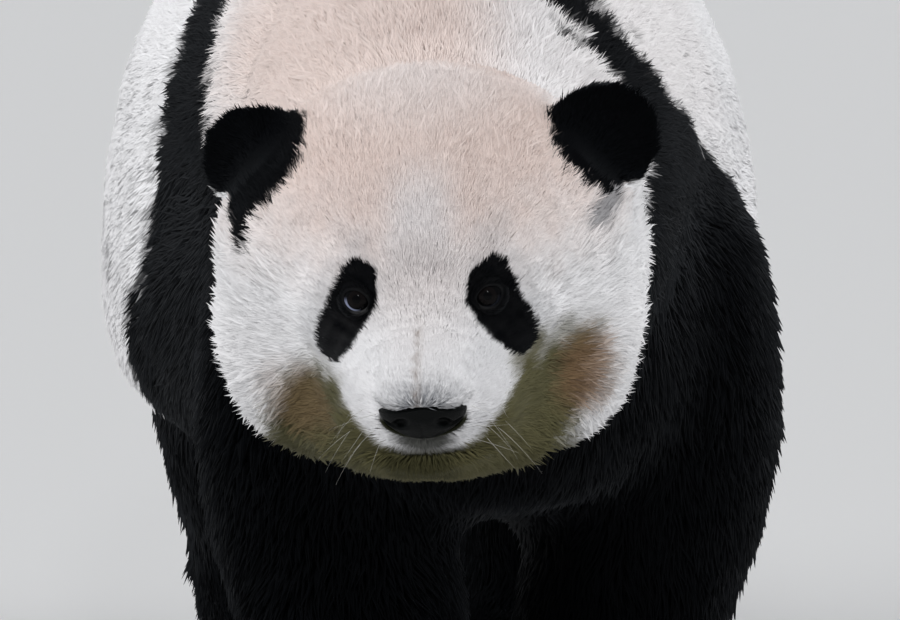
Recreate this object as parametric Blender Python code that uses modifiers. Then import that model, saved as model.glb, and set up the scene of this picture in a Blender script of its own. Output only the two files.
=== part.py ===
"""Giant panda, life size, walking with its head held low: the solids, out to the tips of the coat.

Metres, +Z up. The panda faces -Y and its left side is +X. The origin is on the floor, in the middle
of the box round the animal. Run it with: blender --background --python part.py

The flesh is modelled whole: lofts and ellipsoids in their places are fused by a voxel remesh, smoothed
and thinned, then parted with thin cuts into the sub-parts that a person would name. Nose, eyes and
claws are pieces of their own.
"""

from collections import namedtuple
from math import copysign, cos, exp, pi, radians, sin

import bmesh
import bpy
from mathutils import Matrix, Vector

# ---------------------------------------------------------------- driving dimensions
GAP = 0.0004  # between two touching solids
VOXEL = 0.011  # grain of the remesh that fuses the flesh
SMOOTHING_PASSES = 7
FLESH_TRIANGLES = 2350
RING_POINTS = 28
STEPS_PER_SPAN = 5
TRUNK_FULLNESS = 2.35
SHARP_ANGLE = radians(50)
UNTURNED = Matrix.Identity(4)

BODY_DRIFT = -0.088  # sideways drift of the trunk's line per metre towards the rump
BODY_BEND_Y = -0.20  # where that drift starts, at the shoulders
SOLE_SINK = 0.006  # how much of each sole is cut away to leave a flat on the floor

HEAD_CENTRE = Vector((-0.030, -0.580, 0.500))
HEAD_PITCH = radians(14)  # nose down
HEAD_YAW = radians(-3)  # nose towards the panda's right
HEAD_ROLL = radians(-2.5)  # left ear higher

SIDES = {"left": 1, "right": -1}
FORE_STRIDE = {"left": 0.07, "right": -0.09}  # how far each forefoot is behind its shoulder
HIND_STRIDE = {"left": -0.08, "right": 0.12}
FORE_SHIFT = {"left": 0.008, "right": 0.020}  # sideways; the right foreleg swings in as it steps

Station = namedtuple("Station", "x y z wide up down")


def trunk_x(y):
    """The trunk's line bends sideways behind the shoulders."""
    return BODY_DRIFT * max(0.0, y - BODY_BEND_Y)


# Where the trunk is cut across: (distance along the body, height of the widest line, half width,
# height above and depth below that line). The belly is widest low down.
TRUNK = [
    Station(trunk_x(y), y, z, wide, up, down)
    for y, z, wide, up, down in (
        (-0.395, 0.480, 0.090, 0.120, 0.120),
        (-0.330, 0.460, 0.150, 0.225, 0.170),
        (-0.230, 0.440, 0.195, 0.315, 0.180),
        (-0.100, 0.425, 0.228, 0.360, 0.180),
        (0.070, 0.405, 0.268, 0.370, 0.175),
        (0.240, 0.395, 0.284, 0.380, 0.170),
        (0.400, 0.400, 0.272, 0.372, 0.165),
        (0.530, 0.410, 0.240, 0.330, 0.150),
        (0.640, 0.425, 0.180, 0.250, 0.135),
        (0.700, 0.440, 0.095, 0.130, 0.080),
    )
]

NECK = [
    Station(0.000, -0.130, 0.560, 0.180, 0.205, 0.230),
    Station(-0.004, -0.250, 0.540, 0.182, 0.195, 0.210),
    Station(-0.014, -0.370, 0.515, 0.172, 0.180, 0.175),
    Station(-0.024, -0.470, 0.495, 0.158, 0.155, 0.145),
    Station(-0.030, -0.560, 0.480, 0.130, 0.118, 0.110),
]

# The head's stations run from the occiput to the nose in the head's own frame, -Y forwards.
# The occiput sits a little to the right of the nose's line, because the head is half turned.
SKULL = [
    Station(x, y, z, wide, up, down)
    for x, y, z, wide, up, down in (
        (-0.007, 0.135, 0.000, 0.080, 0.080, 0.080),
        (-0.007, 0.095, 0.000, 0.128, 0.114, 0.110),
        (-0.006, 0.025, 0.002, 0.150, 0.127, 0.122),
        (-0.003, -0.035, 0.000, 0.143, 0.114, 0.118),
        (0.0, -0.080, -0.018, 0.114, 0.096, 0.100),
        (0.0, -0.112, -0.042, 0.082, 0.070, 0.070),
        (0.0, -0.148, -0.056, 0.067, 0.051, 0.046),
        (0.0, -0.182, -0.060, 0.060, 0.045, 0.038),
        (0.0, -0.201, -0.060, 0.047, 0.036, 0.032),
    )
]
CHEEK_ACROSS = {"left": 0.064, "right": -0.078}
CHEEK_PLACE = (0.006, -0.050)  # behind the head's middle, and below it
CHEEK_RADII = (0.086, 0.100, 0.102)
JAW_PLACE = (0.0, -0.068, -0.093)
JAW_RADII = (0.098, 0.084, 0.047)
CHIN_PLACE = (0.0, -0.144, -0.076)
CHIN_RADII = (0.048, 0.046, 0.020)
BROW_PLACE = (0.052, -0.066, 0.022)
BROW_RADII = (0.045, 0.040, 0.040)

EYE_ACROSS, EYE_HEIGHT = 0.0450, 0.0165  # in the head's frame
EYE_RADIUS = 0.0125
EYE_BULGE = 0.0040  # how far the eye stands out of its hollow
EYE_HOLLOW_DEPTH = 0.005
EYE_HOLLOW_REACH = 0.018

EAR_PLACE = (0.124, 0.018, 0.072)
EAR_LIFT = {"left": 0.005, "right": -0.003}
EAR_RADII = (0.046, 0.020, 0.045)
EAR_ROOT_STRETCH = 1.5
EAR_LEAN = radians(32)  # outwards
EAR_TURN = radians(20)  # the cup faces forwards and a little sideways
EAR_CUP_DEPTH = 0.016

NOSE_PLACE = (0.0, -0.196, -0.045)
NOSE_RADII = (0.033, 0.020, 0.021)
NOSE_TAPER, NOSE_TOP = 0.45, 0.72  # narrower below, flatter above

FORELEG = [
    Station(0.085, -0.140, 0.600, 0.065, 0.110, 0.110),
    Station(0.108, -0.160, 0.520, 0.084, 0.130, 0.130),
    Station(0.134, -0.180, 0.430, 0.096, 0.128, 0.128),
    Station(0.138, -0.190, 0.350, 0.104, 0.116, 0.116),
    Station(0.132, -0.195, 0.275, 0.102, 0.106, 0.106),
    Station(0.116, -0.205, 0.195, 0.092, 0.096, 0.096),
    Station(0.102, -0.215, 0.120, 0.082, 0.086, 0.086),
    Station(0.096, -0.225, 0.050, 0.076, 0.082, 0.082),
]
HINDLEG = [
    Station(0.085, 0.470, 0.560, 0.100, 0.140, 0.140),
    Station(0.115, 0.440, 0.450, 0.115, 0.170, 0.170),
    Station(0.134, 0.400, 0.340, 0.108, 0.150, 0.150),
    Station(0.136, 0.405, 0.245, 0.096, 0.122, 0.122),
    Station(0.128, 0.440, 0.160, 0.084, 0.098, 0.098),
    Station(0.120, 0.465, 0.050, 0.076, 0.090, 0.090),
]

Paw = namedtuple("Paw", "wide long high ahead toe_in")
FOREPAW = Paw(wide=0.084, long=0.094, high=0.062, ahead=0.030, toe_in=radians(14))
HINDPAW = Paw(wide=0.078, long=0.116, high=0.060, ahead=0.036, toe_in=radians(10))
TOES = 5
TOE_RADII = (0.0200, 0.034, 0.026)
TOE_SPREAD = radians(27)  # half the fan
TOE_ARC = 1.25  # how much faster the row of toes curves back than they turn out
TOE_SET_IN = (0.75, 0.45)  # shares of a toe's radii that stay inside the paw's outline
CLAW_LENGTH = 0.036
CLAW_RADIUS = 0.0068
CLAW_CURL = radians(50)
CLAW_RINGS = 4
CLAW_TAPER, CLAW_SLIMMING, CLAW_FLATNESS = 0.90, 1.4, 0.62
CLAW_ROOT = 0.5  # share of the toe's half length by which the claw's root lies ahead of its middle
CLAW_HEIGHT = 0.025

TAIL = [
    Station(-0.074, 0.600, 0.610, 0.044, 0.040, 0.040),
    Station(-0.077, 0.655, 0.575, 0.054, 0.042, 0.042),
    Station(-0.079, 0.692, 0.520, 0.058, 0.042, 0.042),
    Station(-0.080, 0.706, 0.460, 0.053, 0.038, 0.038),
    Station(-0.080, 0.706, 0.410, 0.034, 0.027, 0.027),
]

# Where the flesh is parted. Places on the head are in its own frame.
NECK_CUT_Y = 0.088
MUZZLE_CUT = (Vector((0, -0.136, -0.020)), Vector((0, -1.0, -0.45)))
CHEST_CUT = (Vector((0, -0.330, 0.500)), Vector((0, -1.0, 0.50)))
BARREL_CUT_Y, RUMP_CUT_Y = 0.020, 0.330
KNEE_CUT_Z, ANKLE_CUT_Z = 0.216, 0.100  # below the belly; above the paws
SOCKET_OUT, SOCKET_SIDE = 0.014, 0.020  # how far the cut round an upper limb stands off from it
SOCKET_ROOM, SOCKET_FLARE = 0.040, 0.35
SOCKET_DOME = ((0.070, 0.30), (0.058, 0.62), (0.034, 0.88))  # (height above the tube, share of its width)
LIMB_NAMES = {"fore": ("upper_arm", "forearm", "forepaw"), "hind": ("thigh", "shin", "hindpaw")}

WHITE_FUR = ("white_fur", (0.80, 0.76, 0.70), 0.85)
BLACK_FUR = ("black_fur", (0.012, 0.012, 0.014), 0.80)
NOSE_LEATHER = ("nose_leather", (0.020, 0.022, 0.024), 0.38)
EYE_GLOSS = ("eye_gloss", (0.030, 0.020, 0.016), 0.08)
CLAW_HORN = ("claw_horn", (0.075, 0.062, 0.050), 0.40)


# ---------------------------------------------------------------- scene and mesh helpers
def clear_scene():
    for obj in list(bpy.data.objects):
        bpy.data.objects.remove(obj, do_unlink=True)


def new_collection(name):
    collection = bpy.data.collections.new(name)
    bpy.context.scene.collection.children.link(collection)
    return collection


def new_object(name, mesh):
    obj = bpy.data.objects.new(name, mesh)
    parts.objects.link(obj)
    return obj


def mesh_from(bm, name):
    """The mesh of the closed shells in bm, all facing out."""
    bm.normal_update()
    bmesh.ops.recalc_face_normals(bm, faces=bm.faces)
    mesh = bpy.data.meshes.new(name)
    bm.to_mesh(mesh)
    bm.free()
    return mesh


def evaluated_copy(obj):
    """A new mesh with the object's modifiers and its place applied."""
    bpy.context.view_layer.update()
    graph = bpy.context.evaluated_depsgraph_get()
    mesh = bpy.data.meshes.new_from_object(obj.evaluated_get(graph))
    mesh.transform(obj.matrix_world)
    return mesh


def settle(obj):
    """Applies every modifier, so that the mesh holds the final shape."""
    mesh = evaluated_copy(obj)
    obj.modifiers.clear()
    obj.matrix_world = Matrix.Identity(4)
    obj.data = mesh
    return obj


def remove(*objects):
    for obj in objects:
        bpy.data.objects.remove(obj, do_unlink=True)


def material(kind):
    name, colour, roughness = kind
    made = bpy.data.materials.get(name)
    if made is None:
        made = bpy.data.materials.new(name)
        made.use_nodes = True
        shader = made.node_tree.nodes["Principled BSDF"]
        shader.inputs["Base Color"].default_value = (*colour, 1.0)
        shader.inputs["Roughness"].default_value = roughness
        shader.inputs["Metallic"].default_value = 0.0
    return made


def finish_node(obj, name, kind):
    obj.name = name
    obj.data.materials.clear()
    obj.data.materials.append(material(kind))
    obj.data.shade_smooth()
    obj.data.set_sharp_from_angle(angle=SHARP_ANGLE)
    return obj


# ---------------------------------------------------------------- shapes
def between(a, b, c, d, t):
    """Catmull-Rom curve from b to c."""
    return 0.5 * (2 * b + (c - a) * t + (2 * a - 5 * b + 4 * c - d) * t * t + (3 * b - a - 3 * c + d) * t**3)


def smooth_stations(stations, steps):
    """The stations with steps - 1 more between each two, on smooth curves."""
    padded = [stations[0], *stations, stations[-1]]
    found = []
    for i in range(len(stations) - 1):
        for step in range(steps):
            four = list(zip(*padded[i : i + 4]))
            found.append(Station(*(between(*values, step / steps) for values in four)))
    return [*found, stations[-1]]


def add_loft(bm, stations, matrix=UNTURNED, steps=STEPS_PER_SPAN, corners=RING_POINTS, fullness=2.0):
    """A closed tube of egg-shaped rings, each square to the line through the stations.

    A fullness of 2 gives ellipses, and more gives squarer shoulders.
    """
    stations = smooth_stations(stations, steps)
    centres = [Vector((s.x, s.y, s.z)) for s in stations]
    last_upright = Vector((0, -0.1, 1))
    rings = []
    for i, station in enumerate(stations):
        along = (centres[min(i + 1, len(centres) - 1)] - centres[max(i - 1, 0)]).normalized()
        across = Vector((1, 0, 0)) - along * along.x
        across.normalize()
        upright = across.cross(along)
        if upright.dot(last_upright) < 0:
            upright = -upright
        last_upright = upright
        ring = []
        for k in range(corners):
            angle = 2 * pi * k / corners
            height = station.up if sin(angle) > 0 else station.down
            sideways = copysign(abs(cos(angle)) ** (2 / fullness), cos(angle))
            upwards = copysign(abs(sin(angle)) ** (2 / fullness), sin(angle))
            point = centres[i] + across * station.wide * sideways + upright * height * upwards
            ring.append(bm.verts.new(matrix @ point))
        rings.append(ring)
    for first, second in zip(rings, rings[1:]):
        for k in range(corners):
            after = (k + 1) % corners
            bm.faces.new((first[k], first[after], second[after], second[k]))
    bm.faces.new(rings[0])
    bm.faces.new(rings[-1])


def add_ellipsoid(bm, place, radii, matrix=UNTURNED, turn=UNTURNED):
    shape = matrix @ Matrix.Translation(place) @ turn @ Matrix.Diagonal((*radii, 1))
    bmesh.ops.create_uvsphere(bm, u_segments=32, v_segments=20, radius=1, matrix=shape)


def mirrored(stations, side, stride=0.0, drift=0.0):
    """A leg's stations on one side, with the foot moved along by the stride."""
    top, bottom = stations[0].z, stations[-1].z
    return [
        s._replace(x=side * s.x + drift, y=s.y + stride * (top - s.z) / (top - bottom)) for s in stations
    ]


def head_frame():
    turn = Matrix.Rotation(HEAD_YAW, 4, "Z") @ Matrix.Rotation(HEAD_PITCH, 4, "X")
    return Matrix.Translation(HEAD_CENTRE) @ turn @ Matrix.Rotation(HEAD_ROLL, 4, "Y")


def foot_frame(stations, paw, side):
    """Where a paw stands: on the floor below the leg's last station, turned inwards."""
    last = stations[-1]
    place = Matrix.Translation((last.x, last.y - paw.ahead, 0))
    return place @ Matrix.Rotation(-side * paw.toe_in, 4, "Z")


def toe_places(paw):
    """(place, heading) of each toe in the paw's own frame, on an arc round the front."""
    for toe in range(TOES):
        heading = TOE_SPREAD * (2 * toe / (TOES - 1) - 1)
        reach_x = (paw.wide - TOE_RADII[0] * TOE_SET_IN[0]) * sin(heading) / sin(TOE_SPREAD)
        reach_y = -(paw.long - TOE_RADII[1] * TOE_SET_IN[1]) * cos(heading * TOE_ARC)
        yield (reach_x, reach_y, TOE_RADII[2] - SOLE_SINK), heading


# ---------------------------------------------------------------- the flesh
def add_head(bm):
    frame = head_frame()
    add_loft(bm, SKULL, frame)
    for name, side in SIDES.items():
        add_ellipsoid(bm, (CHEEK_ACROSS[name], *CHEEK_PLACE), CHEEK_RADII, frame)
        add_ellipsoid(bm, (side * BROW_PLACE[0], *BROW_PLACE[1:]), BROW_RADII, frame)
    add_ellipsoid(bm, JAW_PLACE, JAW_RADII, frame)
    add_ellipsoid(bm, CHIN_PLACE, CHIN_RADII, frame)


def add_leg(bm, stations, paw, side):
    add_loft(bm, stations)
    frame = foot_frame(stations, paw, side)
    add_ellipsoid(bm, (0, 0, paw.high - SOLE_SINK), (paw.wide, paw.long, paw.high), frame)
    for place, heading in toe_places(paw):
        add_ellipsoid(bm, place, TOE_RADII, frame, Matrix.Rotation(heading, 4, "Z"))


def leg_stations():
    """{(which, side name): (stations, paw, side)} for the four legs."""
    legs = {}
    for name, side in SIDES.items():
        fore = mirrored(FORELEG, side, FORE_STRIDE[name], FORE_SHIFT[name])
        hind = mirrored(HINDLEG, side, HIND_STRIDE[name], trunk_x(HINDLEG[0].y))
        legs["fore", name] = (fore, FOREPAW, side)
        legs["hind", name] = (hind, HINDPAW, side)
    return legs


def face_point(across, height):
    """The point of the flesh in front of this place on the face, in the world."""
    frame = head_frame()
    start, ahead = frame @ Vector((across, -0.5, height)), frame.to_3x3() @ Vector((0, 1, 0))
    hit, place, _, _ = flesh.ray_cast(start, ahead)
    if not hit:
        raise ValueError("no flesh behind that place on the face")
    return place


def hollow_eyes():
    """Presses a shallow hollow into the face round each eye."""
    inwards = head_frame().to_3x3() @ Vector((0, 1, 0))
    eyes = [face_point(side * EYE_ACROSS, EYE_HEIGHT) for side in SIDES.values()]
    for vertex in flesh.data.vertices:
        away = min((vertex.co - eye).length for eye in eyes) / EYE_HOLLOW_REACH
        vertex.co += inwards * EYE_HOLLOW_DEPTH * exp(-away * away)


def make_flesh():
    """Everything covered with fur, apart from ears and tail, as one fused mesh."""
    bm = bmesh.new()
    add_loft(bm, TRUNK, fullness=TRUNK_FULLNESS)
    add_loft(bm, NECK)
    add_head(bm)
    for stations, paw, side in legs.values():
        add_leg(bm, stations, paw, side)
    fused = new_object("flesh", mesh_from(bm, "flesh"))
    fuse = fused.modifiers.new("fuse", "REMESH")
    fuse.mode = "VOXEL"
    fuse.voxel_size = VOXEL
    smooth = fused.modifiers.new("smooth", "SMOOTH")
    smooth.factor = 0.5
    smooth.iterations = SMOOTHING_PASSES
    return settle(fused)


def thin_flesh():
    """Thins the mesh to its share of triangles and cuts the soles flat at the floor."""
    thin = flesh.modifiers.new("thin", "DECIMATE")
    thin.ratio = FLESH_TRIANGLES / (2 * len(flesh.data.polygons))
    thin.use_collapse_triangulate = True
    settle(flesh)
    below = slab((0, 0, 0), (0, 0, -1), 2.5)
    boolean(flesh, below, "DIFFERENCE")
    remove(below)


# ---------------------------------------------------------------- pieces of their own
def grown(obj, name, by=GAP):
    """A cutter of the same shape, larger all round by the gap."""
    cutter = bpy.data.objects.new(name, obj.data.copy())
    cutters.objects.link(cutter)
    cutter.hide_render = True
    cutter.display_type = "WIRE"
    for vertex in obj.data.vertices:
        cutter.data.vertices[vertex.index].co = vertex.co + vertex.normal * by
    return cutter


def make_ear(name, side):
    """A thick cupped disc, its root trimmed to the head."""
    bm = bmesh.new()
    bmesh.ops.create_uvsphere(bm, u_segments=16, v_segments=10, radius=1)
    for vertex in bm.verts:
        x, y, z = vertex.co
        cup = EAR_CUP_DEPTH * max(0.0, 1 - x * x - z * z) if y < 0 else 0.0
        stretch = EAR_ROOT_STRETCH if z < 0 else 1.0
        vertex.co = (x * EAR_RADII[0], y * EAR_RADII[1] + cup, z * EAR_RADII[2] * stretch)
    turn = Matrix.Rotation(side * EAR_TURN, 4, "Z") @ Matrix.Rotation(side * EAR_LEAN, 4, "Y")
    lift = EAR_LIFT["left" if side > 0 else "right"]
    place = Matrix.Translation((side * EAR_PLACE[0], EAR_PLACE[1], EAR_PLACE[2] + lift))
    bm.transform(head_frame() @ place @ turn)
    ear = new_object(name, mesh_from(bm, name))
    return trim(ear)


def trim(obj):
    """Cuts away what lies inside the flesh."""
    cutter = grown(flesh, "flesh_grown")
    boolean(obj, cutter, "DIFFERENCE")
    remove(cutter)
    return obj


def sink(obj):
    """Cuts the place of obj out of the flesh."""
    cutter = grown(obj, "place")
    boolean(flesh, cutter, "DIFFERENCE")
    remove(cutter)
    return obj


def make_eye(name, side):
    bm = bmesh.new()
    inwards = head_frame().to_3x3() @ Vector((0, 1, 0))
    centre = face_point(side * EYE_ACROSS, EYE_HEIGHT) + inwards * (EYE_RADIUS - EYE_BULGE)
    shape = Matrix.Translation(centre)
    bmesh.ops.create_uvsphere(bm, u_segments=12, v_segments=8, radius=EYE_RADIUS, matrix=shape)
    return sink(new_object(name, mesh_from(bm, name)))


def make_nose(name):
    """The leather pad: wide and flat on top, drawn in below."""
    bm = bmesh.new()
    bmesh.ops.create_uvsphere(bm, u_segments=14, v_segments=8, radius=1)
    for vertex in bm.verts:
        x, y, z = vertex.co
        narrow = 1 - NOSE_TAPER * max(0.0, -z)
        flat = NOSE_TOP if z > 0 else 1.0
        vertex.co = (x * NOSE_RADII[0] * narrow, y * NOSE_RADII[1], z * NOSE_RADII[2] * flat)
    bm.transform(head_frame() @ Matrix.Translation(NOSE_PLACE))
    return sink(new_object(name, mesh_from(bm, name)))


def make_tail(name):
    bm = bmesh.new()
    add_loft(bm, TAIL, steps=2, corners=12)
    return trim(new_object(name, mesh_from(bm, name)))


def make_claw(name, place):
    """A tapered hook that curls down from its root, along -Y in the claw's own frame."""
    step = CLAW_LENGTH / (CLAW_RINGS - 1)
    y, z = 0.0, 0.0
    stations = []
    for i in range(CLAW_RINGS):
        thick = CLAW_RADIUS * (1 - CLAW_TAPER * (i / (CLAW_RINGS - 1)) ** CLAW_SLIMMING)
        stations.append(Station(0.0, y, z, thick * CLAW_FLATNESS, thick, thick))
        pitch = CLAW_CURL * i / (CLAW_RINGS - 1)
        y, z = y - step * cos(pitch), z - step * sin(pitch)
    bm = bmesh.new()
    add_loft(bm, stations, place, steps=1, corners=5)
    return trim(new_object(name, mesh_from(bm, name)))


def make_claws():
    for (which, name), (stations, paw, side) in legs.items():
        frame = foot_frame(stations, paw, side)
        for number, (place, heading) in enumerate(toe_places(paw), start=1):
            turn = Matrix.Rotation(heading, 4, "Z")
            ahead = turn @ Vector((0, -TOE_RADII[1] * CLAW_ROOT, 0))
            root = Vector((place[0], place[1], CLAW_HEIGHT)) + ahead
            claw_name = f"claw_{which}_{name}_{number}"
            claw = make_claw(claw_name, frame @ Matrix.Translation(root) @ turn)
            finish_node(claw, claw_name, CLAW_HORN)


# ---------------------------------------------------------------- cutting the flesh into sub-parts
def boolean(obj, cutter, operation):
    step = obj.modifiers.new(operation.lower(), "BOOLEAN")
    step.operation = operation
    step.object = cutter
    step.solver = "EXACT"
    return settle(obj)


def split(obj, inner, outer, name):
    """Parts obj: what is inside the inner cutter becomes a new object, and the rest stays."""
    piece = new_object(name, obj.data.copy())
    boolean(piece, inner, "INTERSECT")
    boolean(obj, outer, "DIFFERENCE")
    remove(inner, outer)
    return piece


def cutter_object(bm, name):
    obj = bpy.data.objects.new(name, mesh_from(bm, name))
    cutters.objects.link(obj)
    obj.hide_render = True
    obj.display_type = "WIRE"
    return obj


def slab(point, facing, reach=2.0):
    """A big box with one face through the point, the box lying on the side it faces."""
    bm = bmesh.new()
    bmesh.ops.create_cube(bm, size=1)
    turn = Vector(facing).to_track_quat("Z", "Y").to_matrix().to_4x4()
    shape = Matrix.Translation(point) @ turn @ Matrix.Diagonal((reach, reach, reach, 1))
    bm.transform(shape @ Matrix.Translation((0, 0, 0.5)))
    return cutter_object(bm, "slab")


def split_plane(obj, point, facing, name):
    """Cuts obj across at the point: the side that faces that way becomes the new object."""
    back = Vector(point) - Vector(facing).normalized() * GAP
    return split(obj, slab(point, facing), slab(back, facing), name)


def socket(stations, side):
    """The space round an upper limb: a tube wider than the limb, domed at its top inside the trunk."""
    tube = []
    for number, s in enumerate(stations[2:-1]):
        room = SOCKET_ROOM * (1 + SOCKET_FLARE * number)
        wider = s._replace(x=s.x + side * SOCKET_OUT, wide=s.wide + SOCKET_SIDE)
        tube.append(wider._replace(up=s.up + room, down=s.down + room))
    top = tube[0]
    dome = [
        top._replace(z=top.z + rise, wide=top.wide * share, up=top.up * share, down=top.down * share)
        for rise, share in SOCKET_DOME
    ]
    bm = bmesh.new()
    add_loft(bm, [*dome, *tube], steps=1, corners=14)
    bmesh.ops.triangulate(bm, faces=bm.faces, quad_method="FIXED")
    return cutter_object(bm, "socket")


def nearest_leg(piece):
    """The key of the leg whose foot is nearest to the middle of the piece."""
    middle = sum((v.co for v in piece.data.vertices), Vector()) / len(piece.data.vertices)
    return min(legs, key=lambda leg: (middle.xy - Vector((legs[leg][0][-1].x, legs[leg][0][-1].y))).length)


def loose_pieces(obj):
    """Takes obj apart into one object for each closed shell."""
    bm = bmesh.new()
    bm.from_mesh(obj.data)
    bm.verts.ensure_lookup_table()
    seen = set()
    pieces = []
    for start in bm.verts:
        if start in seen:
            continue
        shell = {start}
        rim = [start]
        while rim:
            vertex = rim.pop()
            for other in (edge.other_vert(vertex) for edge in vertex.link_edges):
                if other not in shell:
                    shell.add(other)
                    rim.append(other)
        seen |= shell
        copy = bmesh.new()
        copies = {v: copy.verts.new(v.co) for v in sorted(shell, key=lambda v: v.index)}
        for face in bm.faces:
            if face.verts[0] in shell:
                copy.faces.new([copies[v] for v in face.verts])
        pieces.append(new_object("piece", mesh_from(copy, "piece")))
    bm.free()
    remove(obj)
    return pieces


def part_legs():
    lower = split_plane(flesh, (0, 0, KNEE_CUT_Z), (0, 0, -1), "lower_legs")
    feet = split_plane(lower, (0, 0, ANKLE_CUT_Z), (0, 0, -1), "feet")
    for level, joined in ((1, lower), (2, feet)):
        for piece in loose_pieces(joined):
            which, side_name = nearest_leg(piece)
            finish_node(piece, f"{LIMB_NAMES[which][level]}_{side_name}", BLACK_FUR)
    for (which, side_name), (stations, _, sign) in legs.items():
        name = f"{LIMB_NAMES[which][0]}_{side_name}"
        room = socket(stations, sign)
        limb = split(flesh, room, grown(room, "socket_grown"), name)
        finish_node(limb, name, BLACK_FUR)


def part_trunk():
    frame = head_frame()
    ahead = frame.to_3x3() @ Vector((0, -1, 0))
    neck = split_plane(flesh, *CHEST_CUT, "neck")
    head = split_plane(neck, frame @ Vector((0, NECK_CUT_Y, 0)), ahead, "head")
    muzzle = split_plane(head, frame @ MUZZLE_CUT[0], frame.to_3x3() @ MUZZLE_CUT[1], "muzzle")
    rump = split_plane(flesh, (0, RUMP_CUT_Y, 0.4), (0, 1, 0), "rump")
    barrel = split_plane(flesh, (0, BARREL_CUT_Y, 0.4), (0, 1, 0), "barrel")
    for piece in (neck, head, muzzle, rump, barrel):
        finish_node(piece, piece.name, WHITE_FUR)
    finish_node(flesh, "chest", BLACK_FUR)


def centre_on_floor():
    """Moves the whole animal so that the origin is below the middle of its box."""
    points = [vertex.co for obj in parts.objects for vertex in obj.data.vertices]
    middle = [(min(axis) + max(axis)) / 2 for axis in list(zip(*points))[:2]]
    for obj in parts.objects:
        obj.data.transform(Matrix.Translation((-middle[0], -middle[1], 0)))


# ---------------------------------------------------------------- the panda
clear_scene()
parts = new_collection("giant_panda")
cutters = new_collection("cutters")
legs = leg_stations()
flesh = make_flesh()
hollow_eyes()
thin_flesh()
for side_name, sign in SIDES.items():
    finish_node(make_eye(f"eye_{side_name}", sign), f"eye_{side_name}", EYE_GLOSS)
    finish_node(make_ear(f"ear_{side_name}", sign), f"ear_{side_name}", BLACK_FUR)
finish_node(make_nose("nose"), "nose", NOSE_LEATHER)
finish_node(make_tail("tail"), "tail", WHITE_FUR)
make_claws()
part_legs()
part_trunk()
centre_on_floor()
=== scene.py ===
"""A life-size giant panda: skin, coat, eyes, nose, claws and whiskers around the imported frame."""

import math
from collections import namedtuple
from itertools import product

import bpy
import numpy as np
from bpy.props import BoolProperty, FloatProperty, FloatVectorProperty, IntProperty, PointerProperty
from mathutils import Matrix, Vector
from mathutils.bvhtree import BVHTree


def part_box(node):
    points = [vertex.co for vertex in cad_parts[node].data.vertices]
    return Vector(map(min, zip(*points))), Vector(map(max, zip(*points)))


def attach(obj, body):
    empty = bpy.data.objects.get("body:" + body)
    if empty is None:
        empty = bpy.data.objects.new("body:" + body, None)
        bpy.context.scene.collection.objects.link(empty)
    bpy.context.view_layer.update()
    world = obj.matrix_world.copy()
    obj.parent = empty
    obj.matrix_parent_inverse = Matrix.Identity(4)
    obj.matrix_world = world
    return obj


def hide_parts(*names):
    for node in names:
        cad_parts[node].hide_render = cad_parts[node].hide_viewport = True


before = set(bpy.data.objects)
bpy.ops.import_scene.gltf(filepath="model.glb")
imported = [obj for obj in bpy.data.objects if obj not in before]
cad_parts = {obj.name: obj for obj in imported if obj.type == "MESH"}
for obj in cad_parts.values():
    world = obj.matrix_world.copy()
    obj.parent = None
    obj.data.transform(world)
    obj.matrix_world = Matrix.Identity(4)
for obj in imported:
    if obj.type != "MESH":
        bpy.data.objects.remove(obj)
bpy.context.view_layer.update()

bl_info = {
    "name": "Giant panda",
    "version": (1, 0, 0),
    "blender": (4, 5, 0),
    "location": "3D View > Sidebar > Panda",
    "description": "Grows the skin, coat, eyes, nose, claws and whiskers of a life-size giant panda",
    "category": "Object",
}

SIDES = {"left": 1.0, "right": -1.0}

# --- the animal's parts

HEAD_NODES = ("head", "muzzle")
EAR_NODES = ("ear_left", "ear_right")
TRUNK_NODES = ("neck", "chest", "barrel", "rump", "tail")
FORELEG = ("upper_arm", "forearm", "forepaw")
HINDLEG = ("thigh", "shin", "hindpaw")
LEG_NODES = tuple(label + "_" + side for side in SIDES for label in FORELEG + HINDLEG)
FLESH_NODES = HEAD_NODES + EAR_NODES + TRUNK_NODES + LEG_NODES
FILLER_NODES = ("eye_left", "eye_right", "nose")


def both(*labels):
    """Names of the left and the right parts with these labels."""
    return [label + "_" + side for label in labels for side in SIDES]


def is_part(part, names):
    """Which of the part numbers stand for one of the named parts."""
    return np.isin(part, [FLESH_NODES.index(name) for name in names])


# --- the face's own frame


def middle(node):
    """Middle of a node's box."""
    low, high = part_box(node)
    return (low + high) / 2


EYE_CENTRE = {side: middle("eye_" + side) for side in SIDES}
EYE_RADIUS = (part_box("eye_left")[1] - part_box("eye_left")[0]).x / 2
FACE_ORIGIN = (EYE_CENTRE["left"] + EYE_CENTRE["right"]) / 2
HEAD_YAW = Matrix.Rotation(math.radians(-3.0), 3, "Z")
HEAD_PITCH = Matrix.Rotation(math.radians(14.0), 3, "X")
HEAD_ROLL = Matrix.Rotation(math.radians(-2.5), 3, "Y")
FACE_TURN = HEAD_YAW @ HEAD_PITCH @ HEAD_ROLL
FACE_AXES = np.array(FACE_TURN)
MUZZLE_TIP = (0.0, -0.088, -0.068)


def to_face(points):
    """World points in the face's frame: x to the animal's left, -y forward, z up."""
    return (points - np.array(FACE_ORIGIN)) @ FACE_AXES


def from_face(point):
    """World place of one point in the face's frame."""
    return FACE_ORIGIN + FACE_TURN @ Vector(point)


# --- small maths


def linear(code):
    """Linear colour of an sRGB hex code."""
    parts = [int(code[i : i + 2], 16) / 255 for i in (1, 3, 5)]
    return [c / 12.92 if c <= 0.04045 else ((c + 0.055) / 1.055) ** 2.4 for c in parts]


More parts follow.
